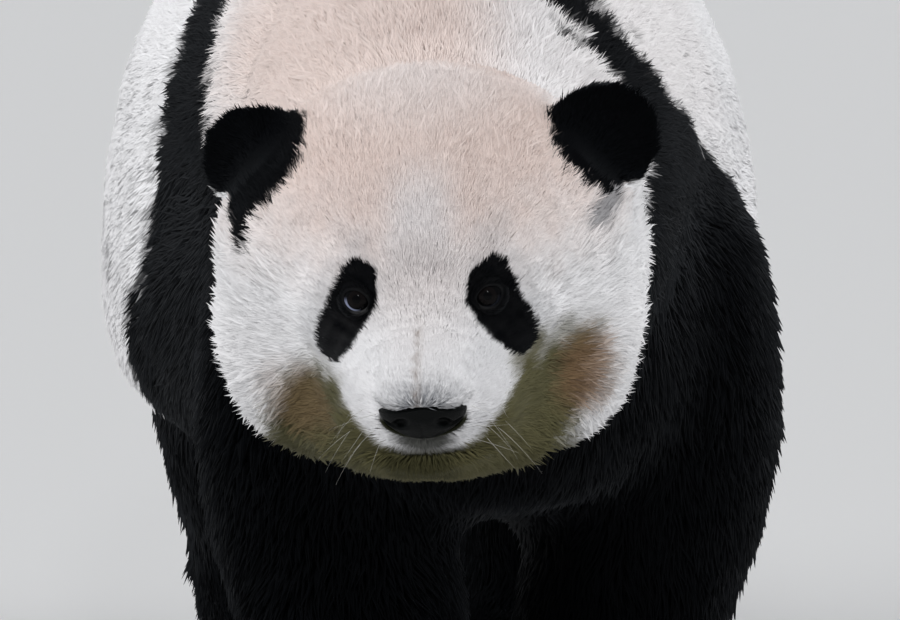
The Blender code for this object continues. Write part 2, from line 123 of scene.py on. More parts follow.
def ease(low, high, x):
    """0 at low, 1 at high, smooth between."""
    t = np.clip((np.asarray(x, float) - low) / (high - low), 0.0, 1.0)
    return t * t * (3.0 - 2.0 * t)


def unit(vectors):
    """Vectors of length 1."""
    return vectors / np.maximum(np.linalg.norm(vectors, axis=-1, keepdims=True), 1e-9)


def ripple(points, wavelength, seed, waves=7):
    """Smooth seeded noise of about -1 to 1, with that wavelength."""
    rng = np.random.default_rng(seed)
    total = np.zeros(len(points))
    for _ in range(waves):
        way = unit(rng.normal(size=3)) * (2.0 * math.pi / wavelength) * rng.uniform(0.6, 1.5)
        total += np.sin(points @ way + rng.uniform(0.0, 2.0 * math.pi))
    return total / math.sqrt(waves)


# --- markings, stained hair and painted shade

# Metres in the face's frame: where the eye patches begin and end beside the nose, at each height
PATCH_HEIGHTS = (-0.046, -0.041, -0.034, -0.026, -0.014, -0.002, 0.010, 0.019, 0.025, 0.029, 0.032)
PATCH_INNER = {
    "left": (0.070, 0.063, 0.056, 0.048, 0.038, 0.032, 0.031, 0.0325, 0.0395, 0.048, 0.052),
    "right": (0.070, 0.062, 0.056, 0.0495, 0.041, 0.033, 0.031, 0.031, 0.030, 0.037, 0.048),
}
PATCH_OUTER = {
    "left": (0.064, 0.0770, 0.0810, 0.0805, 0.0760, 0.070, 0.0665, 0.063, 0.0600, 0.053, 0.046),
    "right": (0.064, 0.076, 0.0785, 0.078, 0.075, 0.069, 0.0645, 0.0605, 0.0565, 0.049, 0.044),
}
# Black round the ears: its inner edge, the corner of its slanting front edge, how far back it
# reaches on the head, and its foot
EAR_INNER = {"left": 0.0885, "right": 0.0870}
EAR_CORNER = {"left": 0.0745, "right": 0.0765}
EAR_SLOPE = 1.06
EAR_REACH = {"left": 0.21, "right": 0.146}
EAR_BOTTOM = {"left": 0.0270, "right": 0.0290}
EAR_SOFT = 0.0016
EAR_ROUND = 0.0022
PATCH_SOFT = 0.0012
# How much paler the black is on the lower lids' inner margins: pale hair and a painted highlight on the wet
# margin
LID_PALE = {"left": 0.01, "right": 0.05}
# Depth behind the eyes up to which the skin belongs to the face's front
FACE_DEEP = 0.06

# World places along the body at which the black shoulder band begins and ends, at each height
BAND_HEIGHTS = (0.25, 0.35, 0.44, 0.50, 0.55, 0.60, 0.64, 0.67, 0.72)
BAND_FRONT = {
    "left": (-0.60, -0.60, -0.55, -0.50, -0.46, -0.43, -0.42, -0.395, -0.34),
    "right": (-0.60, -0.60, -0.50, -0.34, -0.13, -0.09, -0.06, -0.07, -0.12),
}
BAND_REAR = {
    "left": (0.00, -0.02, -0.05, -0.11, -0.21, -0.34, -0.35, -0.34, -0.27),
    "right": (0.22, 0.11, 0.01, 0.01, 0.02, 0.03, 0.05, 0.06, 0.02),
}
BAND_BLEND = 0.11
BAND_SOFT = 0.012
# How far out on each cheek the olive stain reaches, at each height in the face's frame
STAIN_HEIGHTS = (-0.14, -0.11, -0.09, -0.07, -0.05, -0.03)
STAIN_LIMIT = {
    "left": (0.098, 0.103, 0.110, 0.118, 0.120, 0.110),
    "right": (0.130, 0.122, 0.113, 0.102, 0.090, 0.077),
}
FORELEG_TOP = 0.50
THIGH_TOP = 0.40
# Wavelengths of the markings' wandering edges and of the speckles above the nose
RAGGED_WAVE = 0.030
FINE_WAVE = 0.010
SPECKLE_WAVE = 0.0030

Marks = namedtuple("Marks", "black olive russet blush grey lip")
# A soft spot on the face: its middle across and up, how much it is squeezed across and up, the
# distance at which it ends, and the distance within which it is full
Spot = namedtuple("Spot", "x z across up end full")
SPOTS = {
    "ear_trail": Spot(-0.137, 0.028, 1.0, 0.5, 0.009775, 0.006375),
    "ear_foot": Spot(0.127, 0.027, 1.0, 4 / 3, 0.018, 0.006),
    "russet_left": Spot(0.109, -0.082, 1.35, 0.80, 0.038, 0.012),
    "russet_right": Spot(-0.098, -0.090, 1.0, 1.0, 0.040, 0.012),
    "brow": Spot(0.0, 0.026, 0.8, 1.0, 0.070, 0.010),
    "nose_top": Spot(0.0, -0.052, 0.55, 1.0, 0.026, 0.002),
    # Painted shade under the nose pad
    "under_nose": Spot(0.0, -0.078, 0.58, 1.0, 0.017, 0.008),
}


def spot(face, name, sway=0.0):
    """1 inside one of the face's soft spots, 0 outside it."""
    shape = SPOTS[name]
    across = (face[:, 0] - shape.x) * shape.across
    up = (face[:, 2] - shape.z) * shape.up
    return ease(shape.end, shape.full, np.hypot(across, up) + sway)


def two_sided(at, places, table, left):
    """A table's value at each place, blended from its right side to its left one."""
    sides = {side: np.interp(at, places, table[side]) for side in SIDES}
    return sides["left"] * left + sides["right"] * (1.0 - left)


def outside_patch(face, side):
    """Distance outside one eye patch, under 0 inside it."""
    across = face[:, 0] * SIDES[side]
    inner = np.interp(face[:, 2], PATCH_HEIGHTS, PATCH_INNER[side])
    outer = np.interp(face[:, 2], PATCH_HEIGHTS, PATCH_OUTER[side])
    beyond = np.maximum(face[:, 2] - PATCH_HEIGHTS[-1], PATCH_HEIGHTS[0] - face[:, 2])
    return np.maximum(np.abs(across - (inner + outer) / 2) - (outer - inner) / 2, beyond)


def inside_ear(face, side, sway):
    """Distance inside the black round one ear: a straight inner edge, a slanting front edge and a foot."""
    across = face[:, 0] * SIDES[side] + sway - EAR_INNER[side]
    above = face[:, 2] + sway
    slant = (across * EAR_SLOPE + above - EAR_CORNER[side]) / math.hypot(EAR_SLOPE, 1.0)
    edges = np.stack((across, slant, above - EAR_BOTTOM[side])) / EAR_ROUND
    return -EAR_ROUND * np.log(np.exp(-np.clip(edges, -20.0, 20.0)).sum(axis=0))


MUZZLE_HEIGHTS = (-0.094, -0.088, -0.083, -0.070, -0.058, -0.032, -0.016, 0.010)
MUZZLE_HALF_WIDTHS = (0.014, 0.022, 0.032, 0.046, 0.062, 0.055, 0.042, 0.030)


def muzzle_white(face):
    """1 on the clean white muzzle, 0 on the cheeks beside it."""
    x, _, z = face.T
    half = np.interp(z, MUZZLE_HEIGHTS, MUZZLE_HALF_WIDTHS)
    return 1.0 - ease(-0.004, 0.008, np.abs(x - 0.001) - half)


def face_black(points, face, head, ear, ragged, fine):
    """Black of the eye patches and the ears."""
    x, y, z = face.T
    black = np.zeros(len(points))
    for side, sign in SIDES.items():
        edge = outside_patch(face, side) + 0.0004 * ragged + 0.0006 * fine
        patch = ease(PATCH_SOFT, -PATCH_SOFT, edge) * (y < FACE_DEEP) * head
        past_inner = x * sign - EAR_INNER[side]
        reach = EAR_REACH[side] + 0.07 * ease(0.005, 0.013, past_inner)
        reach = np.minimum(reach, EAR_REACH["left"]) - 0.003 * fine
        around = ease(-EAR_SOFT, EAR_SOFT, inside_ear(face, side, 0.0010 * fine))
        around *= ease(0.005, -0.005, y - reach) * (y > FACE_DEEP) * head
        whole = ease(-0.003, 0.001, z - EAR_BOTTOM[side] + 0.001 * fine)
        whole *= ease(-0.007, -0.004, past_inner) * (x * sign > 0.0) * ear
        black = np.maximum.reduce([black, patch, around, whole])
    trail = spot(face, "ear_trail", 0.00051 * fine) * (y > 0.05) * (x < 0) * head
    return fade_black(points, face, head, np.maximum(black, trail), fine)


def fade_black(points, face, head, black, fine):
    """Makes the black a little paler on the lower lids' inner margins, as pale hair and a painted highlight
    on the wet margin, and where the patches are hazy.
    """
    x, y, z = face.T
    near = (y < 0.02) & (np.abs(z) < 0.03) & (np.abs(x) > 0.02) & (np.abs(x) < 0.08)
    near = np.nonzero(head & near)[0]
    for side in SIDES:
        distance, _, radius, over, along = lid_distance(points[near], side)
        margin = ease(0.0030, 0.0012, np.abs(distance - 0.0004)) * ease(0.0, -0.0025, over)
        margin *= ease(0.003, -0.005, along) * (radius < 0.02)
        black[near] -= LID_PALE[side] * margin
    hazy = 0.012 * (x < 0.0) * ease(0.01, -0.04, z) + 0.0035 * (y < FACE_DEEP) * (np.abs(z) < 0.06)
    return black - (1.0 + 0.5 * fine) * hazy * (black > 0.9) * head


def body_black(points, part, ragged):
    """Black of the legs and of the band over the shoulders."""
    x, y, z = points.T
    left = ease(-BAND_BLEND, BAND_BLEND, x)
    front = two_sided(z, BAND_HEIGHTS, BAND_FRONT, left) + 0.010 * ragged
    rear = two_sided(z, BAND_HEIGHTS, BAND_REAR, left) + 0.010 * ragged
    band = ease(-BAND_SOFT, BAND_SOFT, y - front) * ease(BAND_SOFT, -BAND_SOFT, y - rear)
    fore = is_part(part, both(*FORELEG)) * ease(FORELEG_TOP + 0.02, FORELEG_TOP, z)
    thigh_top = THIGH_TOP + 0.25 * (THIGH_TOP - y) + 0.012 * ragged
    hind = is_part(part, both(*HINDLEG)) * ease(0.01, -0.01, z - thigh_top)
    return np.maximum.reduce([band, fore, hind])


def stains(face, clean, ragged):
    """Olive stain of jaw and chin, whose dark colour also stands for painted shade under the jaw, and russet
    of the cheeks.
    """
    x, _, z = face.T
    left = ease(-0.025, 0.025, x)
    low = ease(0.0, 0.034, -0.038 + 0.014 * left + 0.006 * ragged - z)
    limit = two_sided(z, STAIN_HEIGHTS, STAIN_LIMIT, left)
    rim = ease(0.010, -0.014, np.abs(x) - limit - 0.003 * ragged)
    russet_left = 0.85 * spot(face, "russet_left", 0.002 * ragged)
    russet_right = 0.50 * spot(face, "russet_right", 0.005 * ragged)
    return 0.98 * low * rim * (1.0 - clean), np.maximum(russet_left, russet_right) * (1.0 - clean)


def blushes(points, face, head, ear, streak, ragged):
    """Pinkish beige of crown, brow and nape, weaker along a pale streak up the forehead."""
    x, y, z = face.T
    crown = ease(-0.020, 0.085, z + 0.004 * ragged) * (1.0 - 0.6 * streak)
    crown *= 1.0 - 0.45 * ease(0.085, 0.120, z)
    crown *= 1.0 - 0.6 * ease(0.045, 0.100, x) * ease(0.12, 0.22, y)
    brow = 0.38 * spot(face, "brow") * (y < FACE_DEEP)
    x, y, z = points.T
    nape = 0.95 - 0.80 * ease(0.01, 0.09, x) - 0.35 * ease(-0.14, -0.18, x)
    nape *= ease(0.50, 0.62, z) * ease(0.02, -0.20, y) * ~head * ~ear
    return np.maximum(head * np.maximum(crown, brow), nape)


def lips(face, olive):
    """Dark mouth line; dark rim below the nose pad, partly bare skin and partly painted shade; painted shade
    under the nose pad and over the chin, and painted shade darkening the stained jaw.
    """
    x, y, z = face.T
    line = 0.7 * ease(0.006, 0.001, np.abs(z - mouth_height(x))) * ease(0.036, 0.020, np.abs(x))
    pad = np.hypot(x / NOSE_CLEAR[0], (z - NOSE_PLACE[2]) / NOSE_CLEAR[1])
    rim = ease(1.14, 1.0, pad) * ease(-0.056, -0.066, z)
    chin = 0.66 * ease(-0.088, -0.096, z) * ease(0.044, 0.016, np.abs(x + 0.008))
    dark = np.maximum.reduce([line, 0.9 * spot(face, "under_nose"), rim, chin]) * (y < 0.0)
    return np.maximum(dark, 0.38 * olive * (1.0 - 0.25 * ease(-0.025, 0.025, x)))


def marks_at(points, part):
    """The coat's colours at points whose nearest part of the body is known."""
    face = to_face(points)
    x, y, z = face.T
    head = is_part(part, HEAD_NODES)
    ear = is_part(part, EAR_NODES)
    ragged = ripple(points, RAGGED_WAVE, 11)
    fine = ripple(points, FINE_WAVE, 12)
    speckle = np.clip(1.0 + 0.35 * ripple(points, SPECKLE_WAVE, 13), 0.2, 1.6)
    clean = muzzle_white(face) * ease(-0.094, -0.086, z)
    streak = ease(0.036, 0.004, np.abs(x)) * ease(0.010, 0.03, z) * ease(0.095, 0.060, z)
    bridge = ease(0.0058, 0.0005, np.abs(x + 0.003 + 0.0006 * fine)) * ease(0.0, -0.020, z)
    bridge *= (0.75 + 0.35 * fine) * speckle * (y < 0.0) * (z > -0.06)
    ring = np.minimum(outside_patch(face, "left"), outside_patch(face, "right"))
    grey = np.maximum.reduce([
        0.08 * streak,
        0.30 * bridge,
        # Grey hair below the animal's left ear, partly painted shade under the ear
        0.75 * spot(face, "ear_foot"),
        np.clip(0.90 * spot(face, "nose_top") * (y < -0.03) * speckle, 0.0, 1.0),
        # Thinner hair over dark hide round the eye patches, partly painted shade of the hollows they lie in
        0.30 * ease(0.024, 0.003, ring) * (y < FACE_DEEP) * (1.0 - clean),
        # Painted shade on the muzzle: its lower part on the animal's left, its lower edge on the animal's
        # right, and all of it a little darker towards the bottom
        0.24 * ease(0.012, 0.045, x) * ease(0.0, -0.035, z) * clean,
        0.26 * ease(0.022, 0.050, -x) * ease(-0.03, -0.055, z) * clean,
        0.10 * ease(0.010, -0.020, z) * clean,
    ])
    olive, russet = stains(face, clean, ragged)
    on_face = face_black(points, face, head, ear, ragged, fine)
    return Marks(
        black=np.maximum(on_face, body_black(points, part, ragged) * ~head),
        olive=olive * head,
        russet=np.maximum(russet, 0.22 * bridge) * head,
        blush=blushes(points, face, head, ear, streak, ragged),
        grey=grey * head,
        lip=lips(face, olive) * head,
    )


def mouth_height(x):
    """Height of the mouth's line in the face's frame."""
    return -0.0900 + 2.0 * x * x


# --- coat: where it is how long

Zone = namedtuple("Zone", "depth length width cover loose")
ZONES = {
    "forehead": Zone(0.0052, 0.0130, 0.00060, 8.0, 0.60),
    "crown": Zone(0.0065, 0.0180, 0.00070, 7.5, 0.50),
    "cheek_left": Zone(0.0092, 0.0240, 0.00076, 8.0, 0.75),
    "cheek_right": Zone(0.0092, 0.0240, 0.00076, 8.0, 0.75),
    "muzzle": Zone(0.0032, 0.0070, 0.00060, 7.5, 0.90),
    "eye_patches": Zone(0.0028, 0.0065, 0.00070, 7.0, 0.80),
    "chin": Zone(0.006, 0.0120, 0.00080, 7.0, 1.00),
    "ear_left": Zone(0.0050, 0.0120, 0.00080, 10.0, 0.80),
    "ear_right": Zone(0.0050, 0.0120, 0.00080, 10.0, 0.80),
    "nape": Zone(0.0085, 0.0260, 0.00087, 5.7, 0.50),
    "throat": Zone(0.0140, 0.0340, 0.00180, 5.5, 1.00),
    "withers": Zone(0.0100, 0.0310, 0.00118, 5.8, 0.55),
    "chest": Zone(0.016, 0.0400, 0.00230, 5.0, 0.90),
    "barrel": Zone(0.0125, 0.0410, 0.00150, 5.7, 0.55),
    "rump": Zone(0.0145, 0.0450, 0.00220, 5.3, 0.60),
    "tail": Zone(0.016, 0.0400, 0.00200, 6.0, 1.00),
    "foreleg_left": Zone(0.015, 0.0340, 0.00250, 4.6, 0.85),
    "foreleg_right": Zone(0.015, 0.0340, 0.00250, 4.6, 0.85),
    "hindleg_left": Zone(0.015, 0.0340, 0.00270, 4.6, 0.85),
    "hindleg_right": Zone(0.015, 0.0340, 0.00270, 4.6, 0.85),
}
ZONE_NAMES = tuple(ZONES)
PAW = Zone(0.007, 0.0180, 0.00180, 5.5, 0.9)
SHANK = Zone(0.014, 0.0300, 0.00240, 4.8, 0.9)
# The coat grows from nothing to its full depth between the floor and this height
SOLE_CLEAR = 0.022
# Neck and chest wear the back's hair above this height
BACK_LOW = 0.52


def zone_of(points, part):
    """Index of the coat's zone at each point. A later zone takes over from an earlier one."""
    face = to_face(points)
    x, y, z = face.T
    zone = np.zeros(len(points), int)

    def put(name, where):
        zone[where] = ZONE_NAMES.index(name)

    for name in ("chest", "barrel", "rump", "tail") + EAR_NODES:
        put(name, is_part(part, [name]))
    put("withers", is_part(part, ["chest"]) & (points[:, 2] > BACK_LOW))
    put("throat", is_part(part, ["neck"]))
    put("nape", is_part(part, ["neck"]) & (points[:, 2] > BACK_LOW))
    for side in SIDES:
        for group, labels in (("foreleg_", FORELEG), ("hindleg_", HINDLEG)):
            put(group + side, is_part(part, [label + "_" + side for label in labels]))
    head = is_part(part, HEAD_NODES)
    front = head & (y < FACE_DEEP)
    put("crown", head)
    put("cheek_left", head & (z < 0.045) & (x >= 0.0))
    put("cheek_right", head & (z < 0.045) & (x < 0.0))
    put("forehead", front & (z > 0.005) & (z < 0.10) & (np.abs(x) < 0.105))
    put("forehead", front & (z > -0.02) & (np.abs(x) < 0.030))
    put("muzzle", head & (muzzle_white(face) > 0.3) & (z < 0.0) & (y < 0.02) & (z > -0.094))
    put("chin", head & (z <= -0.094) & (np.abs(x) < 0.050) & (y < 0.03))
    patch = np.minimum(outside_patch(face, "left"), outside_patch(face, "right")) < 0.004
    put("eye_patches", head & patch & (y < 0.03))
    return zone


def coat_sizes(part, zone):
    """The coat's sizes at each point, before they are evened out."""
    sizes = np.array([ZONES[name] for name in ZONE_NAMES])[zone]
    sizes[is_part(part, both("forepaw", "hindpaw"))] = PAW
    sizes[is_part(part, both("forearm", "shin"))] = SHANK
    return sizes


# --- mesh helpers


def deselect():
    """Nothing selected, nothing active."""
    bpy.ops.object.select_all(action="DESELECT")
    bpy.context.view_layer.objects.active = None


def make_active(obj):
    """Only this object selected, and active."""
    deselect()
    obj.select_set(True)
    bpy.context.view_layer.objects.active = obj


def edit_all(obj, operator, **settings):
    """Runs one edit-mode operator on the whole mesh."""
    make_active(obj)
    bpy.ops.object.mode_set(mode="EDIT")
    bpy.ops.mesh.select_all(action="SELECT")
    operator(**settings)
    bpy.ops.object.mode_set(mode="OBJECT")


def show(data, place=(0.0, 0.0, 0.0)):
    """A linked object with this mesh, light or camera and its name."""
    obj = bpy.data.objects.new(data.name, data)
    obj.location = place
    bpy.context.collection.objects.link(obj)
    return obj


def new_object(name, points, faces):
    """A linked object with a new mesh."""
    mesh = bpy.data.meshes.new(name)
    mesh.from_pydata(points, [], faces)
    return show(mesh)


def discard(obj):
    """Deletes an object and its mesh."""
    mesh = obj.data
    bpy.data.objects.remove(obj)
    bpy.data.meshes.remove(mesh)


def add_modifier(obj, kind, **settings):
    """Adds one modifier and applies it."""
    make_active(obj)
    modifier = obj.modifiers.new(kind.title(), kind)
    for key, value in settings.items():
        setattr(modifier, key, value)
    bpy.ops.object.modifier_apply(modifier=modifier.name)


def read(layer, key, width, kind=np.float32):
    """One property of a mesh's layer, as rows of that width."""
    flat = np.empty(len(layer) * width, kind)
    layer.foreach_get(key, flat)
    return flat.reshape(-1, width)


def read_points(mesh):
    """Vertices as an array."""
    return read(mesh.vertices, "co", 3).astype(float)


def write_points(mesh, points):
    """Moves the vertices to the array's places."""
    mesh.vertices.foreach_set("co", np.asarray(points, np.float32).ravel())
    mesh.update()


def read_normals(mesh):
    """Vertex normals as an array."""
    return read(mesh.vertex_normals, "vector", 3).astype(float)


def read_triangles(mesh):
    """Triangles as rows of vertex numbers."""
    mesh.calc_loop_triangles()
    return read(mesh.loop_triangles, "vertices", 3, np.int32)


def read_edges(mesh):
    """Edges as rows of vertex numbers."""
    return read(mesh.edges, "vertices", 2, np.int32)


def store(mesh, name, values, kind="FLOAT"):
    """Keeps one value, whole number or vector per vertex on the mesh."""
    layer = mesh.attributes.new(name, kind, "POINT")
    key = "vector" if kind == "FLOAT_VECTOR" else "value"
    dtype = np.int32 if kind == "INT" else np.float32
    layer.data.foreach_set(key, np.ascontiguousarray(values, dtype).ravel())


def recall(mesh, name):
    """Reads back what store kept."""
    layer = mesh.attributes[name]
    if layer.data_type == "FLOAT_VECTOR":
        return read(layer.data, "vector", 3).astype(float)
    return read(layer.data, "value", 1, np.int32 if layer.data_type == "INT" else np.float32)[:, 0]


def write_map(mesh, places):
    """Adds the map OFBake, with one place for each face corner."""
    layer = mesh.uv_layers.new(name="OFBake")
    layer.data.foreach_set("uv", np.clip(places, 0.0, 1.0).astype(np.float32).ravel())


def even_out(values, edges, steps):
    """Averages values with their neighbours along the edges."""
    values = np.array(values, float, order="C")
    count = len(values)
    a, b = edges.T
    degree = np.maximum(np.bincount(edges.ravel(), minlength=count), 1)
    for _ in range(steps):
        for column in values.reshape(count, -1).T:
            total = np.bincount(a, column[b], count) + np.bincount(b, column[a], count)
            column += 0.5 * (total / degree - column)
    return values


def finish_piece(obj, material, replaced=()):
    """Gives the piece its material and smooth shading, sets it on the one body, and hides the nodes it
    replaces.
    """
    obj.data.shade_smooth()
    obj.data.materials.clear()
    obj.data.materials.append(material)
    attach(obj, "root")
    if replaced:
        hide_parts(*replaced)


# --- materials


def add_node(tree, kind, values=(), links=(), **settings):
    """Adds a node: its settings, its socket values, and links from (node, output) to its inputs."""
    node = tree.nodes.new(kind)
    for key, value in settings.items():
        setattr(node, key, value)
    for key, value in dict(values).items():
        node.inputs[key].default_value = value
    for key, (source, output) in dict(links).items():
        tree.links.new(source.outputs[output], node.inputs[key])
    return node


def new_material(name):
    """An empty node material and its tree."""
    material = bpy.data.materials.new(name)
    material.use_nodes = True
    tree = material.node_tree
    tree.nodes.clear()
    return material, tree


def rgba(colour):
    """A colour property as a socket's four numbers."""
    return (*colour, 1.0)


# Settings of a mix that lays one colour over another, and of one that shades a colour. Its
# sockets are 0 for the share, 6 and 7 for the colours, and its result is output 2
LAY = {"data_type": "RGBA"}
SHADE = {"data_type": "RGBA", "blend_type": "MULTIPLY"}


def coat_colour(tree, colours):
    """Lays the markings over the white, each by the attribute that skin and coat both carry."""
    values, links = {6: rgba(colours.white)}, {}
    for name in ("blush", "grey", "olive", "russet", "lip", "black"):
        share = add_node(tree, "ShaderNodeAttribute", attribute_name=name)
        values[7] = rgba(getattr(colours, name))
        links[0] = (share, "Fac")
        laid = add_node(tree, "ShaderNodeMix", values, links, **LAY)
        values, links = {}, {6: (laid, 2)}
    return laid, 2


def hair_material(colours, name):
    """Guard hair, grown and dry: matt along the strand, a faint sheen where it turns away."""
    material, tree = new_material(name)
    tone = add_node(tree, "ShaderNodeAttribute", attribute_name="tone")
    along = add_node(tree, "ShaderNodeAttribute", attribute_name="along")
    # Each tuft is a little lighter or darker than the next, and darker at its root: painted shade of the hair
    # that lies over it
    root = add_node(tree, "ShaderNodeMapRange", {"To Min": 0.90, "To Max": 1.0}, {"Value": (along, "Fac")})
    light = add_node(tree, "ShaderNodeMapRange", {"To Min": 0.93, "To Max": 1.05}, {"Value": (tone, "Fac")})
    shade = add_node(tree, "ShaderNodeMath", links={0: (root, 0), 1: (light, 0)}, operation="MULTIPLY")
    colour = add_node(tree, "ShaderNodeMix", {0: 1.0}, {6: coat_colour(tree, colours), 7: (shade, 0)},
                      **SHADE)
    shader = add_node(
        tree, "ShaderNodeBsdfPrincipled",
        {"Roughness": 0.65, "Specular IOR Level": 0.03, "Sheen Weight": 0.06, "Sheen Roughness": 0.45,
         "Sheen Tint": rgba(colours.sheen)},
        {"Base Color": (colour, 2)},
    )
    add_node(tree, "ShaderNodeOutputMaterial", links={"Surface": (shader, 0)})
    return material


def skin_material(colours):
    """Undercoat close to the hide: the same markings, darker as painted shade deep in the coat, with a grain
    of short hair.
    """
    material, tree = new_material("panda_undercoat")
    place = add_node(tree, "ShaderNodeTexCoord")
    # Grain of 1.5 mm locks, the width at which close underfur clumps
    grain = add_node(tree, "ShaderNodeTexNoise", {"Scale": 650.0, "Detail": 3.0},
                     {"Vector": (place, "Object")})
    # Darkened throughout, more or less with the grain: painted shade deep in the coat
    dim = add_node(tree, "ShaderNodeMapRange", {"To Min": 0.72, "To Max": 0.93}, {"Value": (grain, 0)})
    colour = add_node(tree, "ShaderNodeMix", {0: 1.0}, {6: coat_colour(tree, colours), 7: (dim, 0)},
                      **SHADE)
    bump = add_node(tree, "ShaderNodeBump", {"Strength": 0.5, "Distance": 0.001}, {"Height": (grain, 0)})
    shader = add_node(tree, "ShaderNodeBsdfPrincipled", {"Roughness": 0.85, "Specular IOR Level": 0.2},
                      {"Base Color": (colour, 2), "Normal": (bump, 0)})
    add_node(tree, "ShaderNodeOutputMaterial", links={"Surface": (shader, 0)})
    return material


# --- skin


def flesh_copy(name, grow):
    """Vertices and triangles of one CAD node, merged and grown along its normals."""
    obj = show(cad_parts[name].data.copy())
    edit_all(obj, bpy.ops.mesh.remove_doubles, threshold=0.00001)
    points = read_points(obj.data) + grow * read_normals(obj.data)
    triangles = read_triangles(obj.data)
    discard(obj)
    return points, triangles


def joined(shapes):
    """Vertices and faces of several shapes as one."""
    vertices, faces = [], []
    for points, triangles in shapes:
        faces += (triangles + len(vertices)).tolist()
        vertices += points.tolist()
    return vertices, faces


def nearest_parts(points, pieces):
    """Index in FLESH_NODES of the part nearest to each point."""
    shapes = [pieces[name] for name in FLESH_NODES]
    owners = np.repeat(np.arange(len(shapes)), [len(triangles) for _, triangles in shapes])
    tree = BVHTree.FromPolygons(*joined(shapes))
    return owners[[tree.find_nearest(point)[2] for point in points.tolist()]]


def away_from(points, places):
    """Distance from each point to the nearest of the places."""
    return np.min([np.linalg.norm(points - np.array(place), axis=1) for place in places], axis=0)


def refine(obj, centre, radii):
    """Halves the faces round a point, once for each radius."""
    mesh = obj.data
    make_active(obj)
    for radius in radii:
        near = away_from(read(mesh.polygons, "center", 3), [centre]) < radius
        for layer in (mesh.vertices, mesh.edges, mesh.polygons):
            layer.foreach_set("select", np.zeros(len(layer), bool))
        mesh.polygons.foreach_set("select", near)
        bpy.ops.object.mode_set(mode="EDIT")
        bpy.ops.mesh.select_mode(type="FACE")
        bpy.ops.mesh.subdivide(number_cuts=1, quadcorner="INNERVERT")
        bpy.ops.object.mode_set(mode="OBJECT")


def eye_axes(side):
    """Outward, towards-the-temple and up directions of one eye."""
    out = (FACE_TURN @ Vector((0.22 * SIDES[side], -1.0, 0.06))).normalized()
    up = FACE_TURN @ Vector((0.0, 0.0, 1.0))
    temple = up.cross(out).normalized() * SIDES[side]
    up = (up - out * up.dot(out)).normalized()
    return np.array(out), np.array(temple), np.array(up)


# The lids' opening, how far it stands over the eye's middle, and how it slants down to the nose
LID_HALF_WIDTH = 0.0093
LID_HALF_HEIGHT = 0.0072
LID_RISE = 0.0016
LID_SLANT = math.radians(20.0)
LID_THICKNESS = 0.0016


def lid_distance(points, side):
    """Distance outside the lids' opening, height over the eye's centre, distance off its axis, and
    places over and along the opening."""
    out, temple, up = eye_axes(side)
    away = points - np.array(EYE_CENTRE[side])
    height = away @ out
    across, above = away @ temple, away @ up
    radius = np.hypot(across, above)
    above = above - LID_RISE
    along = across * math.cos(LID_SLANT) + above * math.sin(LID_SLANT)
    over = above * math.cos(LID_SLANT) - across * math.sin(LID_SLANT)
    reach = (np.abs(along / LID_HALF_WIDTH) ** 1.7 + np.abs(over / LID_HALF_HEIGHT) ** 2.0) ** (1 / 1.85)
    distance = (reach - 1.0) * np.hypot(across, above) / np.maximum(reach, 1e-6)
    distance = np.where(reach < 0.05, -LID_HALF_HEIGHT, distance)
    return distance, height, radius, over, along


def shape_lids(points, side):
    """Moves the skin round one eye: lids that hug the ball, a fold above, a dish behind the ball."""
    distance, height, radius, over, _ = lid_distance(points, side)
    near = (radius < 0.030) & (height > -0.030)
    ball = np.sqrt(np.maximum(EYE_RADIUS**2 - np.minimum(radius, EYE_RADIUS * 0.985) ** 2, 0.0))
    thick = LID_THICKNESS * ease(-0.0002, 0.0011, distance) + 0.0006 * ease(0.001, 0.003, distance)
    lid = ball + 0.0003 + thick + 0.0008 * (over > 0) * ease(0.0010, 0.0030, distance)
    crease = 0.0009 * np.exp(-(((distance - 0.0050) / 0.0011) ** 2)) * ease(0.0, 0.004, over)
    pouch = 0.0007 * np.exp(-(((distance - 0.0058) / 0.0013) ** 2)) * ease(0.0, -0.004, over)
    hold = 1.0 - ease(0.0020, 0.0095, distance)
    target = lid * hold + height * (1.0 - hold) - crease - pouch
    inside = ease(0.0, -0.0012, distance)
    target = target * (1.0 - inside) + (ball - 0.0022) * inside
    return points + (near * (target - height))[:, None] * eye_axes(side)[0]


NOSE_PLACE = to_face(np.array([middle("nose")]))[0]
# Height of the pad's upper edge over its middle, and the half sizes of its seat and of the bare
# place round it
NOSE_EDGE = 0.0125
NOSE_SEAT = (0.0285, 0.0122)
NOSE_CLEAR = (0.0298, 0.0136)


def pushed_back(points, push):
    """Points moved back along the face's depth."""
    return points + push[:, None] * FACE_AXES[:, 1]


def shape_mouth(points):
    """Presses the mouth's line and the groove under the nose into the skin."""
    x, y, z = to_face(points).T
    front = (y < 0.0) & (np.abs(x) < 0.060) & (z < -0.050) & (z > -0.12)
    line = np.exp(-(((z - mouth_height(x)) / 0.0030) ** 2)) * ease(0.040, 0.024, np.abs(x))
    groove = np.exp(-((x / 0.0018) ** 2)) * ease(-0.066, -0.074, z) * ease(-0.090, -0.084, z)
    return pushed_back(points, front * (0.0038 * line + 0.0020 * groove))


def bring_over_nose(points):
    """Brings the bridge forward, so that its short hair meets the nose pad's upper edge."""
    x, y, z = (to_face(points) - NOSE_PLACE).T
    across = np.minimum(np.abs(x) / 0.0335, 1.0)
    above = z - NOSE_EDGE
    edge = -0.0185 * np.sqrt(1.0 - across**2) + 0.0025
    target = edge + 0.85 * np.maximum(above, 0.0) + 6.0 * np.maximum(above, 0.0) ** 2
    share = ease(-0.0015, 0.0005, above) * ease(0.036, 0.014, above) * ease(1.0, 0.55, across)
    return pushed_back(points, np.minimum(target - y, 0.0) * share * (y < 0.040))


